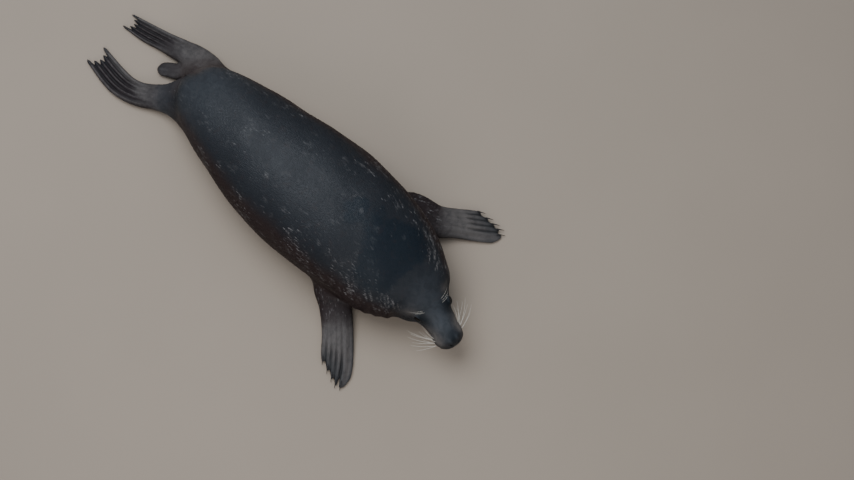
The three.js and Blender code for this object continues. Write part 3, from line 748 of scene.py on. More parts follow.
# ---------- the one skin ----------
def place_keys(points):
    """One whole number for each place, the same for equal places."""
    cells = np.round(points / 2e-6).astype(np.int64) + (1 << 20)
    return (cells[:, 0] << 42) + (cells[:, 1] << 21) + cells[:, 2]


def union(things):
    """One smooth mesh of closed forms, in place of theirs."""
    others = bpy.data.collections.new("others")
    bpy.context.scene.collection.children.link(others)
    for thing in things[1:]:
        others.objects.link(thing)
    join = things[0].modifiers.new("join", "BOOLEAN")
    join.operation, join.solver, join.operand_type, join.collection = "UNION", "EXACT", "COLLECTION", others
    graph = bpy.context.evaluated_depsgraph_get()
    mesh = bpy.data.meshes.new_from_object(things[0].evaluated_get(graph), depsgraph=graph)
    for thing in things:
        bpy.data.meshes.remove(thing.data)
    bpy.data.collections.remove(others)
    mesh.shade_smooth()
    mesh.name = "skin"
    return mesh


def joined(parts):
    """Joins closed grids into one skin, with each point's marks carried over: a point that the join adds
    takes the mean of its neighbours. Gives the mesh, the marks and which points the join added."""
    things, marks = [], {}
    for name, points, mark, flat_end in parts:
        things.append(add_mesh(name, closed_rows(points, flat_end), *closed_faces(*points.shape[:2], flat_end)))
        for key, values in mark.items():
            marks.setdefault(key, []).append(closed_rows(values, flat_end))
    marks = {key: np.concatenate(values) for key, values in marks.items()}
    keys = place_keys(np.concatenate([read(thing.data.vertices, "co", 3) for thing in things]))
    mesh = union(things)
    edges = read(mesh.edges, "vertices", 2, np.int32)
    here, order = place_keys(read(mesh.vertices, "co", 3)), np.argsort(keys)
    source = order[np.minimum(np.searchsorted(keys[order], here), len(keys) - 1)]
    kept, count = keys[source] == here, len(here)
    found = {key: np.where(kept[:, None], v[source].reshape(count, -1), 0) for key, v in marks.items()}
    known = kept.copy()
    while not known.all():
        weight = neighbour_sum(known.astype(float)[:, None], edges)[:, 0]
        reached = ~known & (weight > 0)
        if not reached.any():
            break
        for values in found.values():
            values[reached] = (neighbour_sum(values * known[:, None], edges) / np.maximum(weight, 1)[:, None])[reached]
        known |= reached
    return mesh, {key: v.reshape((count,) + marks[key].shape[1:]) for key, v in found.items()}, ~kept


def move_points(mesh, points):
    """Puts a mesh's points elsewhere."""
    mesh.vertices.foreach_set("co", np.asarray(points, np.float32).ravel())
    mesh.update()


def neighbour_sum(values, edges, weight=1.0):
    """The sum of the values of each point's neighbours along its edges, column by column, each edge with its
    weight."""
    sums = [np.bincount(edges[:, 0], column[edges[:, 1]] * weight, len(values))
            + np.bincount(edges[:, 1], column[edges[:, 0]] * weight, len(values)) for column in values.T]
    return np.stack(sums, 1)


def neighbour_mean(values, edges, weight=1.0):
    """The neighbours' weighted sum over the sum of their weights."""
    total = neighbour_sum(np.ones((len(values), 1)), edges, weight)
    return neighbour_sum(values, edges, weight) / np.maximum(total, 1e-9)


def evened(values, edges, share, turns):
    """Moves values a share of the way towards their neighbours' mean, turn after turn."""
    for _ in range(turns):
        values = values + share * (neighbour_mean(values, edges) - values)
    return values


def seam_reach(points, edges, seam, reach):
    """1 on a seam falling to 0 at a reach from it, measured along the edges."""
    away = np.where(seam, 0.0, 9.0)
    length = np.linalg.norm(points[edges[:, 0]] - points[edges[:, 1]], axis=1)
    for _ in range(48):
        for a, b in ((0, 1), (1, 0)):
            np.minimum.at(away, edges[:, a], away[edges[:, b]] + length)
    return smooth(1 - away / reach)


def filled(mesh, points, edges, share, free):
    """Fills the hollows of a part of the skin: each turn moves its points towards their neighbours' mean, taken
    mostly along the body by weights of y^4 of an edge's direction, with only a share of the way left free inwards
    along their normals."""
    near = share > 0
    edges = edges[near[edges].any(1)]
    kept, edges = np.unique(edges, return_inverse=True)
    edges, part, share, free = edges.reshape(-1, 2), points[kept], share[kept, None], free[kept, None]
    for turn in range(FILL_TURNS):
        if turn % FILL_REFRESH == 0:
            points[kept] = part
            move_points(mesh, points)
            outward = read(mesh.vertex_normals, "vector", 3)[kept]
            weight = 0.06 + unit(part[edges[:, 0]] - part[edges[:, 1]])[:, 1] ** 4
        step = neighbour_mean(part, edges, weight) - part
        fall = np.minimum((step * outward).sum(1, keepdims=True), 0)
        part = part + STEP * share * (step - outward * fall * (1 - free * smooth(outward[:, 2:] / 0.3)))
    points[kept] = part
    return points


def make_skin(sizes):
    """The whole skin: trunk, tail and flippers joined, their seams softened, the hollows round the rump's seams
    filled, drawn in by the coat's depth, and laid on the floor."""
    parts = [("trunk_form", *trunk_grid(sizes.skin_rings, sizes.skin_columns), False)]
    for island, name in enumerate(FLIPPERS):
        half_columns = 84 if name.startswith("fore") else 60
        parts.append((name + "_form", *flipper_grid(name, island, 100, half_columns), True))
    parts.append(("tail_form", *tail_grid(44, 40), False))
    mesh, marks, seam = joined(parts)
    edges, points = read(mesh.edges, "vertices", 2, np.int32), read(mesh.vertices, "co", 3)
    along, _, part = marks["lay"].T
    rump = smooth((points[:, 1] - 0.3) / 0.15)
    tail_root = np.where(part > 4.5, smooth((0.12 - along) / 0.06), 1)
    soft = seam_reach(points, edges, seam, sizes.seam_reach)[:, None]
    points = evened(points, edges, STEP * soft, SEAM_TURNS)
    wide = seam_reach(points, edges, seam, 2.4 * sizes.seam_reach)[:, None]
    points = filled(mesh, points, edges, wide[:, 0] * rump * tail_root, 0.3 * (part < 0.5))
    points = evened(points, edges, STEP * soft * (rump * tail_root)[:, None], SEAM_TURNS)
    blended = ("flank", "limb", "bare", "pale", "fleck", "dusk", "sheen")
    values = evened(np.stack([marks[key] for key in blended], 1), edges, wide, MARK_TURNS)
    marks.update(zip(blended, values.T))
    marks["lie"] = unit(evened(marks["lie"], edges, soft, LIE_TURNS))
    move_points(mesh, points)
    points = points - read(mesh.vertex_normals, "vector", 3) * sizes.coat_depth
    points[:, 2] = np.maximum(points[:, 2], 0.0)
    move_points(mesh, points)
    return placed(mesh), marks


MADE = {}  # the skin's marks and the coat's material, kept from the skin's operator for the coat's


# ---------- the coat ----------
def coat_roots(mesh, marks, sizes):
    """Roots of the tufts: places on the skin's triangles, closer together where the hair is shorter. A triangle
    over an edge of the unwrapped sheet takes the values of its nearest corner there."""
    random = np.random.default_rng(sizes.seed)
    mesh.calc_loop_triangles()
    tris = read(mesh.loop_triangles, "vertices", 3, np.int32)
    points, normals = read(mesh.vertices, "co", 3), read(mesh.vertex_normals, "vector", 3)
    corner = points[tris]
    area = np.linalg.norm(np.cross(corner[:, 1] - corner[:, 0], corner[:, 2] - corner[:, 0]), axis=1) / 2
    hair = marks["hair"][tris].mean(1)
    usable = (hair > SHORTEST_HAIR) & (corner[:, :, 2].max(1) > LOWEST_ROOT)
    weight = np.where(usable, area / np.maximum(0.5 * sizes.tuft_slimness * hair ** 2, 1e-9), 0)
    count = int(weight.sum() * sizes.tuft_cover)
    running = np.cumsum(weight)
    picked = np.searchsorted(running, (np.arange(count) + random.random(count)) / count * running[-1])
    chosen = tris[np.minimum(picked, len(tris) - 1)]
    share = random.random((count, 2))
    over = share.sum(1) > 1
    share[over] = 1 - share[over]
    share = np.column_stack([1 - share.sum(1), share])
    blend = lambda values: (values[chosen] * share.reshape(share.shape + (1,) * (values.ndim - 1))).sum(1)
    nearest = chosen[np.arange(count), share.argmax(1)]
    torn = (np.ptp(marks["unwrap"][chosen], axis=1).max(-1) > 0.06)[:, None]
    found = {name: blend(marks[name]) for name in MARKS if name != "lay"}
    found["lay"] = np.where(torn, marks["lay"][nearest], blend(marks["lay"]))
    unwrap = np.where(torn, marks["unwrap"][nearest], blend(marks["unwrap"]))[:, :2]
    return dict(place=blend(points), normal=unit(blend(normals)), lie=blend(marks["lie"]), hair=blend(marks["hair"]),
                unwrap=unwrap, marks=found, lock=random.random(count))


# A tuft's six points: two at its root, three across its middle and one at its tip.
TUFT_FACES = np.array([[0, 2, 3], [0, 3, 1], [1, 3, 4], [2, 5, 3], [3, 5, 4]])
TUFT_ALONG = np.array([0, 0, 0.55, 0.55, 0.55, 1.0])
TUFT_ACROSS = np.array([-0.42, 0.42, -0.5, 0.0, 0.5, 0.0])
TUFT_RIDGE = np.array([0, 0, 0, 1.0, 0, 0])
TUFT_LIFT = np.array([-0.35, -0.35, 0.75, 1.0, 0.75, 1.0])
TUFT_PATCH = np.array([[-0.4, -0.5], [0.4, -0.5], [-0.5, 0.1], [0, 0.1], [0.5, 0.1], [0, 0.5]])


def make_tufts(name, roots, chosen, sizes, material):
    """Flat pointed locks of wet hair along the lie: each runs from under the skin, over a low rise at its
    middle with a ridge along it, to a tip that just clears the skin."""
    random = np.random.default_rng(sizes.seed + len(name))
    place, normal, lie, hair = (roots[key][chosen] for key in ("place", "normal", "lie", "hair"))
    count = len(place)
    along = unit(lie - normal * (lie * normal).sum(1, keepdims=True))
    side = np.cross(normal, along)
    turn = random.normal(0, 0.16, count)[:, None]
    along, side = along * np.cos(turn) + side * np.sin(turn), side * np.cos(turn) - along * np.sin(turn)
    length = (hair * random.uniform(0.75, 1.3, count))[:, None]
    width = length * sizes.tuft_slimness * random.uniform(0.75, 1.2, count)[:, None]
    rise = length * random.uniform(0.045, 0.12, count)[:, None]
    points = (place[:, None] + along[:, None] * (length * TUFT_ALONG)[..., None]
              + side[:, None] * (width * TUFT_ACROSS)[..., None]
              + normal[:, None] * (rise * TUFT_LIFT + width * 0.16 * TUFT_RIDGE)[..., None])
    points[..., 2] = np.maximum(points[..., 2], LOWEST_TUFT)
    faces = TUFT_FACES[None] + 6 * np.arange(count)[:, None, None]
    thing = add_mesh(name, points.reshape(-1, 3), faces.reshape(-1, 3))
    mesh = thing.data
    for key, values in roots["marks"].items():
        store(mesh, key, np.repeat(values[chosen], 6, axis=0))
    store(mesh, "lock", np.repeat(roots["lock"][chosen], 6))
    layer = mesh.uv_layers.new(name="OFBake")
    patch = roots["unwrap"][chosen][:, None] + TUFT_PATCH * 0.003
    corners = read(mesh.loops, "vertex_index", 1, np.int32)[:, 0]
    layer.data.foreach_set("uv", patch.reshape(-1, 2)[corners].astype(np.float32).ravel())
    return finished(thing, material)


def coat_parts(roots):
    """Which tufts belong to each piece of the coat, by where they grow."""
    limb = roots["marks"]["lay"][:, 2] > 0.5
    back, left = roots["marks"]["lay"][:, 0], roots["place"][:, 0]
    spine = np.interp(roots["place"][:, 1], TRUNK.rows[::-1, 1], TRUNK.rows[::-1, 0])
    face, head = ~limb & (back < 0.13), ~limb & (back >= 0.13) & (back < 0.31)
    trunk = ~limb & ~head & ~face
    fore = trunk & (back < 0.95)
    return {
        "coat_face": face, "coat_head": head,
        "coat_shoulder_left": fore & (left > spine), "coat_shoulder_right": fore & (left <= spine),
        "coat_loin_left": trunk & ~fore & (left > spine), "coat_loin_right": trunk & ~fore & (left <= spine),
        "coat_fore_flippers": limb & (roots["marks"]["lay"][:, 2] < 2.5),
        "coat_hind_flippers": limb & (roots["marks"]["lay"][:, 2] > 2.5),
    }


# ---------- eyes, claws and whiskers ----------
def ball_grid(centre, outward, radius, rings, columns):
    """A ball whose pole looks outward, with the cornea's low bulge: radius * (1 + 0.03 exp(-(t / 0.45)^2))."""
    t = np.linspace(math.pi, 0, rings)[:, None]
    a = np.arange(columns) / columns * TURN
    side = unit(np.cross(outward, [0, 0, 1]))
    swell = radius * (1 + 0.03 * bell(t, 0.45))
    parts = (swell * np.sin(t) * np.cos(a), swell * np.sin(t) * np.sin(a), swell * np.cos(t) + 0 * a)
    return centre + sum(part[..., None] * way for part, way in zip(parts, (side, np.cross(outward, side), outward)))


def tube_grid(path, radii, columns):
    """A round tube along a path of points, closed at both ends, with a radius at each point."""
    ahead = unit(np.gradient(path, axis=0))
    side = unit(np.cross(ahead, np.array([0.13, 0.21, 0.97])))
    rise = np.cross(side, ahead)
    a = np.arange(columns) / columns * TURN
    ring = np.cos(a)[None, :, None] * rise[:, None] + np.sin(a)[None, :, None] * side[:, None]
    return path[:, None] + ring * np.asarray(radii)[:, None, None]


def several(name, grids):
    """One mesh of several closed grids of the same shape."""
    quads, fans = closed_faces(*grids[0].shape[:2])
    points = [closed_rows(grid) for grid in grids]
    step = len(points[0])
    return add_mesh(name, np.concatenate(points), np.concatenate([quads + i * step for i in range(len(grids))]),
                    np.concatenate([fans + i * step for i in range(len(grids))]))


def claw_grid(form, place, reach):
    """A claw: a bent cone from the top of a digit to the floor, its girth falling to a fifth at the tip."""
    size = form.kind["claw"]
    hand = form.length * form.kind["hand"]
    end = hand + (form.length - hand) * reach
    length, radius = size["length"] * MM, size["radius"] * MM

    def on_digit(distance):
        rows = form.measure(distance)
        _, left, _ = form.directions(distance)
        return rows[:3] + left * rows[3] * place * form.leading

    root = on_digit(end + size["overhang"] * MM - length)
    tip = on_digit(end + size["overhang"] * MM)
    thickness = form.measure(end - length / 2)[4]
    root[2] += thickness * size["root"]
    tip[2] = max(tip[2] + thickness * size["tip"], radius + MM)
    middle = (root + tip) / 2 + np.array([0, 0, length * size["arch"]])
    t = np.sin(np.linspace(0, math.pi / 2, 18)) ** 1.4
    path = (1 - t)[:, None] ** 2 * root + 2 * ((1 - t) * t)[:, None] * middle + t[:, None] ** 2 * tip
    return tube_grid(path, radius * (1 - 0.8 * t) * dome(t, 0.25) * dome(1 - t, 0.06), 14)


def whisker_grid(root, end, bow, radius, sections=14):
    """A whisker: root + (end - root) s + 4 bow s (1 - s), tapering to its tip."""
    s = np.linspace(0, 1, sections)[:, None]
    path = root + (end - root) * s + 4 * bow * s * (1 - s)
    taper = radius * (1 - 0.8 * s[:, 0] ** 1.3)
    taper[0] = taper[-1] = 0
    return tube_grid(path, taper, 6)


def whisker_grids(sizes):
    """The pads' whiskers and the bristles over the eyes, on both sides."""
    random = np.random.default_rng(sizes.seed + 5)
    longest, radius = sizes.whisker_length, sizes.whisker_radius
    grids = []
    for side in (1, -1):
        for back, above, row, fan, length in whisker_roots():
            forward, left, _ = TRUNK.directions(TRUNK.length - back * MM)
            root, outward = place_on_head(back, side_angle(side, above))
            fan = math.radians(fan + random.normal(0, 2.5))
            way = left * side * math.cos(fan) - forward * math.sin(fan) + np.array([0, 0, 0.02 + 0.06 * row])
            end = root + unit(way) * longest * length * random.uniform(0.86, 1.08)
            bow = outward * np.linalg.norm(end - root) * 0.06
            grids.append(whisker_grid(root - outward * 3 * MM, end, bow, radius))
        for i in range(sizes.brow_bristles):
            back, above = EYE["back"] + 15 - 7 * i, 62 - 2 * (i % 2)
            forward, left, _ = TRUNK.directions(TRUNK.length - back * MM)
            root, outward = place_on_head(back, side_angle(side, above))
            way = left * side * 0.85 - forward * (0.42 - 0.03 * i) + np.array([0, 0, 0.02]) - outward * 0.16
            end = root + unit(way) * longest * BRISTLE_LENGTHS[i % len(BRISTLE_LENGTHS)]
            grids.append(whisker_grid(root - outward * 2 * MM, end, outward * 0.013, radius * 0.5))
    return grids


# ---------- materials ----------
class Value:
    """A number in a material: arithmetic on it adds Math nodes."""

    def __init__(self, graph, socket):
        self.graph, self.socket = graph, socket

    def _with(self, operation, *others):
        return self.graph.add("ShaderNodeMath", {"operation": operation}, dict(enumerate(others)))

    def __add__(self, other):
        return self._with("ADD", self, other)

    def __sub__(self, other):
        return self._with("SUBTRACT", self, other)

    def __rsub__(self, other):
        return self._with("SUBTRACT", other, self)

    def __mul__(self, other):
        return self._with("MULTIPLY", self, other)

    __radd__, __rmul__ = __add__, __mul__

    def between(self, low, high):
        """0 below low, 1 above high, smooth between."""
        return self.graph.add("ShaderNodeMapRange", {"interpolation_type": "SMOOTHSTEP"},
                              {"Value": self, "From Min": low, "From Max": high})


class Graph:
    """The nodes of a material, or of the world, round its one shader."""

    def __init__(self, owner, shader="BSDF_PRINCIPLED", **steady):
        owner.use_nodes = True
        self.owner, self.tree = owner, owner.node_tree
        self.shader = next(n for n in self.tree.nodes if n.type == shader)
        self.surface(**steady)

    def surface(self, **sockets):
        """Sets the shader's sockets, named in small letters, and gives back what the graph is for."""
        self.set(self.shader, {key.replace("_", " ").title().replace("Ior", "IOR"): v for key, v in sockets.items()})
        return self.owner

    def set(self, node, sockets):
        """A node's sockets: links to values, and numbers or colours of their own."""
        for key, value in sockets.items():
            socket = node.inputs[key]
            if isinstance(value, Value):
                self.tree.links.new(value.socket, socket)
            else:
                socket.default_value = (*value, 1) if socket.type == "RGBA" else value

    def add(self, kind, settings=None, sockets=None, output=0):
        """A node of a kind: its settings first, a ramp's stops among them, then its sockets' values or links."""
        node = self.tree.nodes.new(kind)
        for key, value in (settings or {}).items():
            if key == "stops":
                for stop, colour in zip(node.color_ramp.elements, value):
                    stop.color = (*colour, 1)
            else:
                setattr(node, key, value)
        self.set(node, sockets or {})
        return Value(self, node.outputs[output])

    def mark(self, name, vector=False):
        """A number or vector that the mesh keeps at its points."""
        return self.add("ShaderNodeAttribute", {"attribute_name": name}, output=1 if vector else 2)

    def place(self):
        """Object coordinates."""
        return self.add("ShaderNodeTexCoord", output=3)

    def scaled(self, vector, scale):
        return self.add("ShaderNodeVectorMath", {"operation": "MULTIPLY"}, {0: vector, 1: scale})

    def noise(self, vector, scale, detail=3.0, roughness=0.5, distortion=0.0):
        return self.add("ShaderNodeTexNoise", None, {"Vector": vector, "Scale": scale, "Detail": detail,
                                                     "Roughness": roughness, "Distortion": distortion})

    def mix(self, factor, first, second):
        """One colour going over into another."""
        return self.add("ShaderNodeMix", {"data_type": "RGBA"}, {0: factor, 6: first, 7: second}, output=2)

    def bump(self, height, distance, strength, **below):
        """A normal from a height, over the normal below it where one is given."""
        sockets = {"Height": height, "Distance": distance, "Strength": strength}
        return self.add("ShaderNodeBump", None, {**sockets, **below})


def material_graph(name, **steady):
    return Graph(bpy.data.materials.new(name), **steady)


def tinted(colour, factor, lift=0.0):
    """A colour with each of its parts times a factor, plus a lift."""
    return tuple(part * factor + lift for part in colour)


def coat_material(colours):
    """Wet short fur and wet flipper skin: dark slate over the back, brown-black flanks, a blue-black nape partly of
    painted shade, a painted highlight of the sky, pale flecks along the lie, painted shade in the creases, and greyer,
    ridged flippers."""
    g = material_graph("wet_coat", ior=1.45, specular_ior_level=0.38, coat_roughness=0.22, coat_ior=1.36)
    place, lay = g.place(), g.mark("lay", vector=True)
    flank, limb, bare, fleck, lock = (g.mark(name) for name in ("flank", "limb", "bare", "fleck", "lock"))
    cloud = g.noise(place, 7.0, 4.0, 0.55) - 0.5
    mottle = g.noise(place, 34.0, 3.0, 0.6, 0.6)
    # The body's ground colours, one over the other, with painted shade on the nape and a painted highlight of the sky.
    colour = g.mix((flank * 1.15 + cloud * 0.7).between(0.15, 0.85), colours.back, colours.flank)
    colour = g.mix((g.mark("nape") + cloud * 0.9).between(0.4, 0.56) * 0.8, colour, colours.nape)
    colour = g.mix(g.mark("sheen") * (0.45 + mottle.between(0.3, 0.7) * 0.55), colour, colours.sheen)
    colour = g.mix(mottle.between(0.52, 0.75) * 0.3, colour, colours.flank)
    # The flippers' ridged grey, then the pale places, one pad's painted light among them, and the dark places, with
    # painted shadow and shade on the fore flippers.
    ridges = g.noise(g.scaled(lay, (38.0, 150.0, 7.0)), 1.0, 4.0, 0.62, 0.8)
    grey = g.mix((ridges * 0.55 + mottle * 0.5).between(0.3, 0.75), colours.flipper_dark, colours.flipper)
    colour = g.mix(limb * (bare + (mottle - 0.5) * 0.5).between(0.0, 0.9), colour, grey)
    colour = g.mix(g.mark("pale") * (0.55 + mottle * 0.8).between(0.5, 1.2), colour, colours.pale)
    colour = g.mix(g.mark("dusk") * 0.9, colour, colours.dusk)
    # Pale flecks: soft drops and sharper strokes along the lie, crowded in places, and painted shade in the depths of
    # the creases.
    crowd = g.noise(g.scaled(lay, (7.0, 9.0, 3.0)), 1.0, 2.0) - 0.5
    strokes = g.noise(g.scaled(lay, (34.0, 105.0, 9.0)), 1.0, 3.0, 0.6, 1.1)
    drops = g.noise(g.scaled(lay, (21.0, 34.0, 5.0)), 1.0, 3.0, 0.6, 0.5)
    soft_drops = (drops + crowd * 0.3).between(0.58, 0.78) * fleck.between(0.1, 0.6)
    flecks = (strokes + crowd * 0.4 + fleck * 0.18 + lock * 0.08).between(0.78, 0.95) * fleck.between(0.02, 0.7)
    colour = g.mix(soft_drops * 0.26, colour, colours.fleck)
    colour = g.mix(flecks * 0.8, colour, colours.fleck)
    colour = g.mix(g.mark("crease") * 0.85, colour, colours.crease)
    # The hairs' fine lines and the bare skin's grain, and an uneven film of water.
    hairs = g.noise(g.scaled(lay, (70.0, 700.0, 11.0)), 1.0, 2.0, 0.6)
    leather = g.add("ShaderNodeTexVoronoi", {"feature": "DISTANCE_TO_EDGE"}, {"Vector": place, "Scale": 480.0})
    normal = g.bump(leather * bare, 0.0012, 0.4, Normal=g.bump(hairs, 0.0011, 0.55))
    wet = g.noise(place, 11.0, 3.0, 0.6)
    return g.surface(base_color=colour, roughness=0.38 + wet * 0.2 + flank * 0.08 + flecks * 0.1, normal=normal,
                     coat_weight=(0.6 - wet * 0.6 - limb * 0.2).between(0.0, 0.6) * 0.22)


def eye_material(colours):
    """A wet dark eye: brown-black, a little browner in a fine grain."""
    g = material_graph("seal_eye", ior=1.38, specular_ior_level=0.3)
    grain = g.noise(g.place(), 160.0, 3.0)
    colour = g.mix(grain.between(0.4, 0.7), colours.eye, tinted(colours.eye, 1.8))
    return g.surface(base_color=colour, roughness=0.06 + grain * 0.05)


def claw_material(colours):
    """Dark horn with fine growth lines."""
    g = material_graph("claw_horn", ior=1.5)
    lines = g.noise(g.place(), 240.0, 4.0, 0.6, 0.4)
    colour = g.mix(lines.between(0.35, 0.7), colours.claw, tinted(colours.claw, 2.6, 0.01))
    return g.surface(base_color=colour, roughness=0.28 + lines * 0.2, normal=g.bump(lines, 0.0006, 0.4))


def whisker_material(colours):
    """Pale straw-coloured, wet and slightly beaded."""
    g = material_graph("whisker_straw", coat_weight=0.4, coat_roughness=0.1)
    beads = g.noise(g.place(), 130.0, 2.0)
    colour = g.mix(beads.between(0.4, 0.65), colours.whisker, tinted(colours.whisker, 0.82))
    return g.surface(base_color=colour, roughness=0.3 + beads * 0.2)


def floor_material(colours):
    """A plain matt floor, very slightly uneven in tone."""
    g = material_graph("stage_floor")
    tone = g.noise(g.place(), 1.3, 3.0)
    colour = g.mix(tone.between(0.3, 0.7), colours.floor, tinted(colours.floor, 0.97))
    return g.surface(base_color=colour, roughness=0.85 + tone * 0.05)


# ---------- properties ----------
def number_property(name, text, default, **more):
    return FloatProperty(name=name, description=text, default=default, **more)


def length_property(name, text, default):
    return number_property(name, text, default, min=0.0, unit="LENGTH", precision=4)


def colour_property(name, text, default):
    return FloatVectorProperty(name=name, description=text, default=default, size=3, subtype="COLOR", min=0, max=1)


class SealSizes(bpy.types.PropertyGroup):
    """Sizes of the skin, coat and whiskers."""

    skin_rings: IntProperty(name="Skin rings", description="Rings along the trunk's skin", default=330, min=80)
    skin_columns: IntProperty(name="Skin columns", description="Points round each ring", default=184, min=48)
    coat_depth: length_property("Coat depth", "How deep the skin lies under the coat", 0.0018)
    seam_reach: length_property("Seam reach", "How far a flipper's root is softened into the trunk", 0.075)
    tuft_slimness: number_property("Tuft slimness", "A tuft's width over its length", 0.26, min=0.05)
    tuft_cover: number_property("Tuft cover", "Area of the tufts over the skin's area", 1.0, min=0.0)
    whisker_length: length_property("Whisker length", "Length of the longest whiskers", 0.105)
    whisker_radius: length_property("Whisker radius", "Radius of a whisker near its root", 0.0009)
    brow_bristles: IntProperty(name="Brow bristles", description="Bristles over each eye", default=3, min=0)
    seed: IntProperty(name="Seed", description="Start of the random draws", default=11)


class SealColours(bpy.types.PropertyGroup):
    """Colours of the seal and the stage."""

    back: colour_property("Back", "Wet slate of the back", (0.0135, 0.0165, 0.0225))
    flank: colour_property("Flank", "Brown-black of the flanks", (0.0225, 0.0120, 0.0125))
    # Partly the nape's own blue-black, partly painted shade.
    nape: colour_property("Nape", "Blue-black of the nape", (0.0010, 0.0085, 0.0175))
    # A painted highlight: the sky's reflection on the wet loin, crown, muzzle and nose.
    sheen: colour_property("Sheen", "Lighter slate along the loin and crown", (0.070, 0.080, 0.093))
    pale: colour_property("Pale", "Pale patches of the face and flippers", (0.155, 0.140, 0.132))
    # Dark blue of the eye patches and the nose, also used for painted shadow and shade on the fore flippers.
    dusk: colour_property("Dusk", "Dark blue round the eyes and on the nose", (0.0030, 0.0085, 0.0145))
    fleck: colour_property("Fleck", "Pale flecks of the coat", (0.25, 0.24, 0.24))
    # Painted shade in the creases, slits, holes and folds; only the lids' margin is partly their own dark.
    crease: colour_property("Crease", "Depths of the creases", (0.004, 0.004, 0.005))
    flipper: colour_property("Flipper", "Grey of the flippers", (0.112, 0.099, 0.096))
    flipper_dark: colour_property("Flipper ridges", "Dark lines of the flippers", (0.050, 0.047, 0.048))
    eye: colour_property("Eye", "Brown-black of the eyes", (0.0045, 0.0032, 0.0028))
    claw: colour_property("Claw", "Dark horn", (0.012, 0.011, 0.012))
    whisker: colour_property("Whisker", "Straw of the whiskers", (0.90, 0.85, 0.75))
    floor: colour_property("Floor", "Pale floor", (0.44, 0.365, 0.295))


class SealStage(bpy.types.PropertyGroup):
    """The camera and the lights."""

    azimuth: number_property("Azimuth", "Where the camera stands", math.radians(-52.7), subtype="ANGLE")
    elevation: number_property("Elevation", "How high it stands", math.radians(73.0), subtype="ANGLE")
    distance: length_property("Distance", "Camera to its target", 12.0)
    target: FloatVectorProperty(name="Target", description="Point the camera looks at", size=3,
                                default=(0.1739, -0.6013, 0.0), subtype="TRANSLATION")
    focal: number_property("Focal length", "Of the lens, in millimetres", 117.6, min=1.0)
    key_power: number_property("Key", "Watts of the overhead softbox", 150.0, min=0.0)
    fill_power: number_property("Fill", "Watts of the side softbox", 45.0, min=0.0)
    ambient: number_property("Ambient", "Strength of the surrounding light", 0.5, min=0.0)


# ---------- operators ----------
class SEAL_OT_skin(bpy.types.Operator):
    """Make the one skin that covers the trunk, tail and flippers"""

    bl_idname, bl_label = "seal.skin", "Skin"

    def execute(self, context):
        skin, marks = make_skin(context.scene.seal_sizes)
        for name in MARKS:
            store(skin.data, name, marks[name])
        store(skin.data, "lock", np.full(len(skin.data.vertices), 0.35))
        MADE["marks"] = marks
        MADE["coat"] = coat_material(context.scene.seal_colours)
        finished(skin, MADE["coat"], FLESH)
        return {"FINISHED"}


class SEAL_OT_coat(bpy.types.Operator):
    """Grow the flat tufts of wet hair over the skin"""

    bl_idname, bl_label = "seal.coat", "Coat"

    def execute(self, context):
        sizes = context.scene.seal_sizes
        roots = coat_roots(bpy.data.objects["skin"].data, MADE["marks"], sizes)
        for name, chosen in coat_parts(roots).items():
            make_tufts(name, roots, chosen, sizes, MADE["coat"])
        return {"FINISHED"}


class SEAL_OT_eyes(bpy.types.Operator):
    """Set the two eyeballs in their lids"""

    bl_idname, bl_label = "seal.eyes", "Eyes"

    def execute(self, context):
        material = eye_material(context.scene.seal_colours)
        for side, name in ((1, "left"), (-1, "right")):
            centre, outward = eye_place(side)
            eye = several("eye_ball_" + name, [ball_grid(centre, outward, (EYE["radius"] - 0.4) * MM, 40, 48)])
            finished(eye, material, ["eye_" + name])
        return {"FINISHED"}


class SEAL_OT_claws(bpy.types.Operator):
    """Set five claws on each flipper"""

    bl_idname, bl_label = "seal.claws", "Claws"

    def execute(self, context):
        material = claw_material(context.scene.seal_colours)
        for name, form in FLIPPERS.items():
            limb, side = name.split("_")
            claws = several(f"claws_{name}", [claw_grid(form, *digit) for digit in form.kind["digits"]])
            finished(claws, material, [f"{limb}_claw_{side}_{i}" for i in range(1, 6)])
        return {"FINISHED"}


class SEAL_OT_whiskers(bpy.types.Operator):
    """Set the whiskers on the pads and the bristles over the eyes"""

    bl_idname, bl_label = "seal.whiskers", "Whiskers"

    def execute(self, context):
        whiskers = several("whiskers", whisker_grids(context.scene.seal_sizes))
        finished(whiskers, whisker_material(context.scene.seal_colours))
        return {"FINISHED"}


def add_light(name, power, size, place, aim, colour):
    """A round softbox at a place, turned towards its aim."""
    lamp = bpy.data.lights.new(name, "AREA")
    lamp.energy, lamp.shape, lamp.size, lamp.color = power, "DISK", size, colour
    thing = bpy.data.objects.new(name, lamp)
    thing.location = place
    thing.rotation_euler = (Vector(aim) - Vector(place)).to_track_quat("-Z", "Y").to_euler()
    bpy.context.scene.collection.objects.link(thing)


def add_floor(colours):
    """A round floor just under the seal."""
    a = np.arange(FLOOR_CORNERS) / FLOOR_CORNERS * TURN
    ring = np.stack([np.cos(a) * FLOOR_RADIUS, np.sin(a) * FLOOR_RADIUS, np.full(FLOOR_CORNERS, FLOOR_HEIGHT)], 1)
    floor = add_mesh("floor", ring, np.arange(FLOOR_CORNERS)[None, :])
    floor.data.materials.append(floor_material(colours))


def soft_surround(strength):
    """An even light from all round, grey from below and a little bluer from above."""
    g = Graph(bpy.data.worlds.new("soft_surround"), "BACKGROUND", strength=strength)
    way = g.add("ShaderNodeTexCoord")
    height = g.add("ShaderNodeSeparateXYZ", None, {0: way}, output=2)
    glow = g.add("ShaderNodeValToRGB", {"stops": ((0.50, 0.50, 0.50), (0.84, 0.91, 1.0))}, {"Fac": height})
    return g.surface(color=glow)


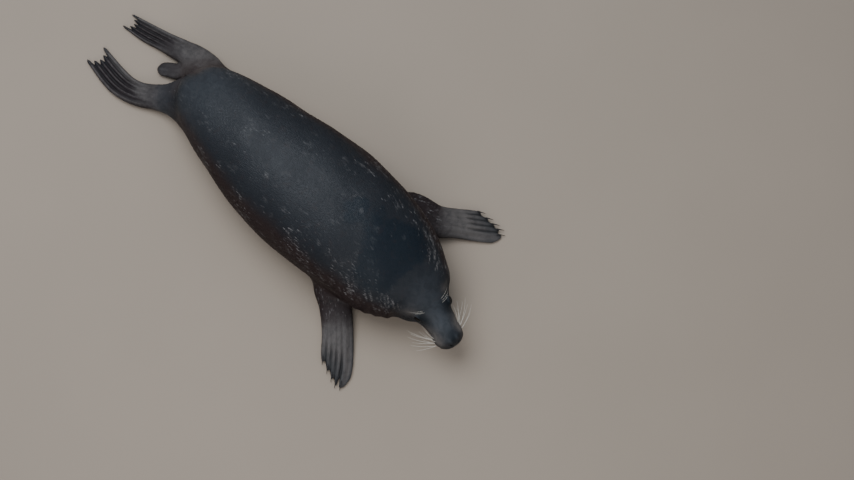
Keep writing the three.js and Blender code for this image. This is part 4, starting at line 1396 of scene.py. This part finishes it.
def add_camera(stage):
    """A camera round its target by azimuth and elevation: from (sin a cos e, -cos a cos e, sin e) times distance."""
    lens = bpy.data.cameras.new("camera")
    lens.sensor_width, lens.lens = 36.0, stage.focal
    lens.clip_start, lens.clip_end = 0.1, 100.0
    camera = bpy.data.objects.new("camera", lens)
    level = math.cos(stage.elevation)
    back = Vector((math.sin(stage.azimuth) * level, -math.cos(stage.azimuth) * level, math.sin(stage.elevation)))
    camera.location = Vector(stage.target) + back * stage.distance
    camera.rotation_euler = (-back).to_track_quat("-Z", "Y").to_euler()
    bpy.context.scene.collection.objects.link(camera)
    return camera


class SEAL_OT_stage(bpy.types.Operator):
    """Set the floor, the soft lights and the camera"""

    bl_idname, bl_label = "seal.stage", "Stage"

    def execute(self, context):
        scene, stage = context.scene, context.scene.seal_stage
        add_floor(scene.seal_colours)
        add_light("key", stage.key_power, 4.4, (0.2, 1.5, 4.8), (0.0, -0.1, 0.1), (0.90, 0.95, 1.0))
        add_light("fill", stage.fill_power, 3.0, (-3.6, -2.6, 3.0), (0.0, -0.3, 0.1), (1.0, 0.95, 0.9))
        scene.world = soft_surround(stage.ambient)
        scene.camera = add_camera(stage)
        return {"FINISHED"}


OPERATORS = (SEAL_OT_skin, SEAL_OT_coat, SEAL_OT_eyes, SEAL_OT_claws, SEAL_OT_whiskers, SEAL_OT_stage)


class SEAL_PT_panel(bpy.types.Panel):
    """The seal's pieces, sizes and colours"""

    bl_label, bl_idname = "Grey Seal", "SEAL_PT_panel"
    bl_space_type, bl_region_type, bl_category = "VIEW_3D", "UI", "Seal"

    def draw(self, context):
        for operator in OPERATORS:
            self.layout.operator(operator.bl_idname)
        for group in (context.scene.seal_sizes, context.scene.seal_colours, context.scene.seal_stage):
            box = self.layout.box()
            for name in group.__annotations__:
                box.prop(group, name)


CLASSES = (SealSizes, SealColours, SealStage, *OPERATORS, SEAL_PT_panel)


def register():
    for kind in CLASSES:
        bpy.utils.register_class(kind)
    bpy.types.Scene.seal_sizes = PointerProperty(type=SealSizes)
    bpy.types.Scene.seal_colours = PointerProperty(type=SealColours)
    bpy.types.Scene.seal_stage = PointerProperty(type=SealStage)


def unregister():
    del bpy.types.Scene.seal_stage, bpy.types.Scene.seal_colours, bpy.types.Scene.seal_sizes
    for kind in reversed(CLASSES):
        bpy.utils.unregister_class(kind)


def main():
    """Makes every piece and the stage."""
    register()
    bpy.ops.seal.stage()
    bpy.ops.seal.skin()
    bpy.ops.seal.coat()
    bpy.ops.seal.eyes()
    bpy.ops.seal.claws()
    bpy.ops.seal.whiskers()


if __name__ == "__main__":
    main()
